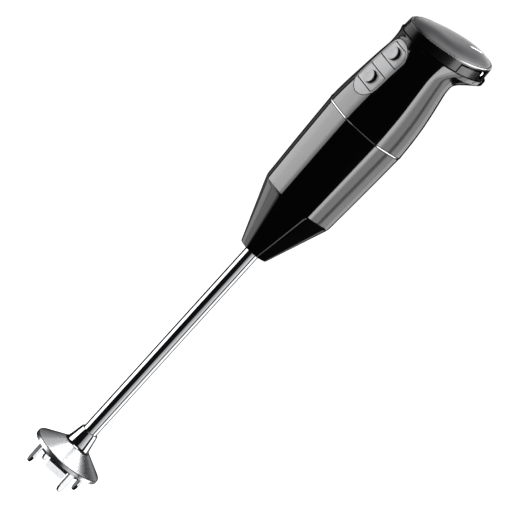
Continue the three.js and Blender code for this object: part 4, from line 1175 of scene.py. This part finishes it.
# each softbox: the pieces it lights, compass direction, height, distance,
# width and height of the box, brightness
softboxes = {
    "bodyLeftA": ("body", -55, 0.22, 1.6, 0.51, 1.34, 7.6),
    "bodyLeftB": ("body", -40.5, 0.22, 1.6, 0.3, 1.34, 7.4),
    "bodyLeftC": ("body", -29, 0.22, 1.6, 0.36, 1.34, 5.6),
    "bodyLeftD": ("body", -16, 0.22, 1.6, 0.37, 1.34, 3.8),
    "bodyLeftEdge": ("body", -88, 0.0, 1.6, 0.7, 1.6, 0.35),
    "taperLeftA": ("body", -66, -1.05, 1.6, 0.34, 1.1, 2.7),
    "taperLeftB": ("body", -51, -1.05, 1.6, 0.46, 1.1, 1.8),
    "taperLeftC": ("body", -35, -1.05, 1.6, 0.4, 1.1, 0.6),
    "taperLine": ("body", 99, -1.3, 1.6, 0.16, 0.9, 3.2),
    "taperEdge": ("body", 178, -0.67, 1.6, 0.5, 0.35, 0.9),
    "bodyRightA": ("body", 107, 0.3, 1.6, 0.56, 1.34, 9.5),
    "bodyRightB": ("body", 121.5, 0.3, 1.6, 0.25, 1.34, 6.2),
    "bodyRightC": ("body", 130.5, 0.3, 1.6, 0.25, 1.34, 3.5),
    "bodyRightLine": ("body", 137, 0.3, 1.6, 0.09, 1.34, 1.2),
    "bodyRightD": ("body", 143, 0.3, 1.6, 0.24, 1.34, 3.6),
    "bodyRightE": ("body", 156, 0.3, 1.6, 0.46, 1.34, 4.2),
    "bodyRightF": ("body", 175, 0.3, 1.6, 0.5, 1.34, 2.8),
    "headLeft": ("head", -55, 0.22, 1.6, 1.8, 1.34, 2.1),
    "headRight": ("head", 130, 0.3, 1.6, 1.3, 1.34, 6.6),
    "headRim": ("head", 168, 1.75, 1.4, 1.7, 1.1, 7.0),
    "headBack": ("head", 212, 0.66, 1.6, 1.3, 0.6, 1.6),
    "headHigh": ("head", -106, 1.2, 1.6, 1.5, 1.6, 0.15),
    "headTop": ("head", 214, 1.9, 0.6, 1.0, 0.9, 2.0),
    "chromeLeft": ("chrome", -40, 0.0, 1.6, 1.3, 1.9, 2.0),
    "chromeMiddleA": ("chrome", 57, 0.0, 1.6, 0.22, 1.9, 0.3),
    "chromeMiddleB": ("chrome", 68, 0.0, 1.6, 0.4, 1.9, 0.42),
    "chromeMiddleC": ("chrome", 83, 0.0, 1.6, 0.45, 1.9, 0.62),
    "chromeMiddleD": ("chrome", 97, 0.0, 1.6, 0.34, 1.9, 0.85),
    "chromeRight": ("chrome", 144.5, 0.0, 1.6, 1.15, 1.9, 1.5),
    "chromeEdge": ("chrome", 190, -0.25, 1.6, 0.6, 1.3, 0.25),
    "chromeHigh": ("chrome", 44, 2.3, 0.9, 1.3, 0.9, 1.8),
    "bellBack": ("chrome", 224, 2.1, 0.9, 1.5, 1.5, 2.4),
    "bellLeftA": ("chrome", 238, 0.55, 1.6, 0.6, 0.5, 0.17),
    "bellLeftB": ("chrome", 246, 1.08, 1.6, 0.7, 0.56, 0.3),
    "bellLeftC": ("chrome", 254, 1.68, 1.6, 0.7, 0.6, 0.6),
    "bellRightA": ("chrome", 210, 0.55, 1.6, 0.6, 0.5, 0.32),
    "bellRightB": ("chrome", 203, 1.0, 1.6, 0.5, 0.45, 0.12),
    "tipFront": ("tip", 46, -0.24, 1.6, 0.9, 0.5, 1.1),
    "tipRight": ("tip", 102, -0.24, 1.6, 1.0, 0.6, 1.15),
    "ringLeft": ("ring", -45, 0.2, 1.6, 1.6, 1.2, 6.0),
    "ringFront": ("ring", 18, 0.2, 1.6, 1.0, 1.2, 0.7),
    "ringMiddle": ("ring", 62, 0.2, 1.6, 1.2, 1.2, 0.25),
    "ringRight": ("ring", 130, 0.2, 1.6, 1.6, 1.2, 6.0),
    "tipLeft": ("tip", -72, -0.24, 1.6, 0.9, 0.8, 0.2),
    "tipBack": ("tip", 224, 1.6, 1.2, 1.5, 1.0, 0.8),
}

groups = {
    "chrome": ("guardBell", "armTube"),
    "tip": ("guardProngs", "crossBlade", "bladeHub"),
    "ring": ("trimRing",),
    "head": ("packHead", "packCover", "lightWindow", "releaseButtonLeft", "releaseButtonRight",
             "chargeContactLeft", "chargeContactRight"),
}


def makeGroup(name):
    # the pieces that a set of lights falls on; the body's lights fall on whatever the others leave
    pieces = bpy.data.collections.new(name + "Lit")
    for group, members in groups.items():
        if name in (group, "body"):
            for member in members:
                pieces.objects.link(bpy.data.objects[member])
    if name == "body":
        for entry in pieces.collection_objects:
            entry.light_linking.link_state = "EXCLUDE"
    return pieces


litPieces = {name: makeGroup(name) for name in ("body", *groups)}


def makeSoftbox(name, group, azimuth, height, distance, width, tall, brightness):
    data = bpy.data.lights.new(name, "AREA")
    data.shape = "RECTANGLE"
    data.size = width
    data.size_y = tall
    data.energy = brightness * pi * width * tall
    box = addObject(name, data)
    angle = radians(azimuth)
    place = Vector((sin(angle) * distance, -cos(angle) * distance, height))
    towards = Vector((0, 0, 0.2)) - place
    box.matrix_world = Matrix.Translation(place) @ towards.to_track_quat("-Z", "Y").to_matrix().to_4x4()
    box.visible_camera = False
    box.light_linking.receiver_collection = litPieces[group]
    return box


for name, numbers in softboxes.items():
    makeSoftbox(name, *numbers)
bpy.context.scene.view_settings.view_transform = "Standard"
print("studio made")
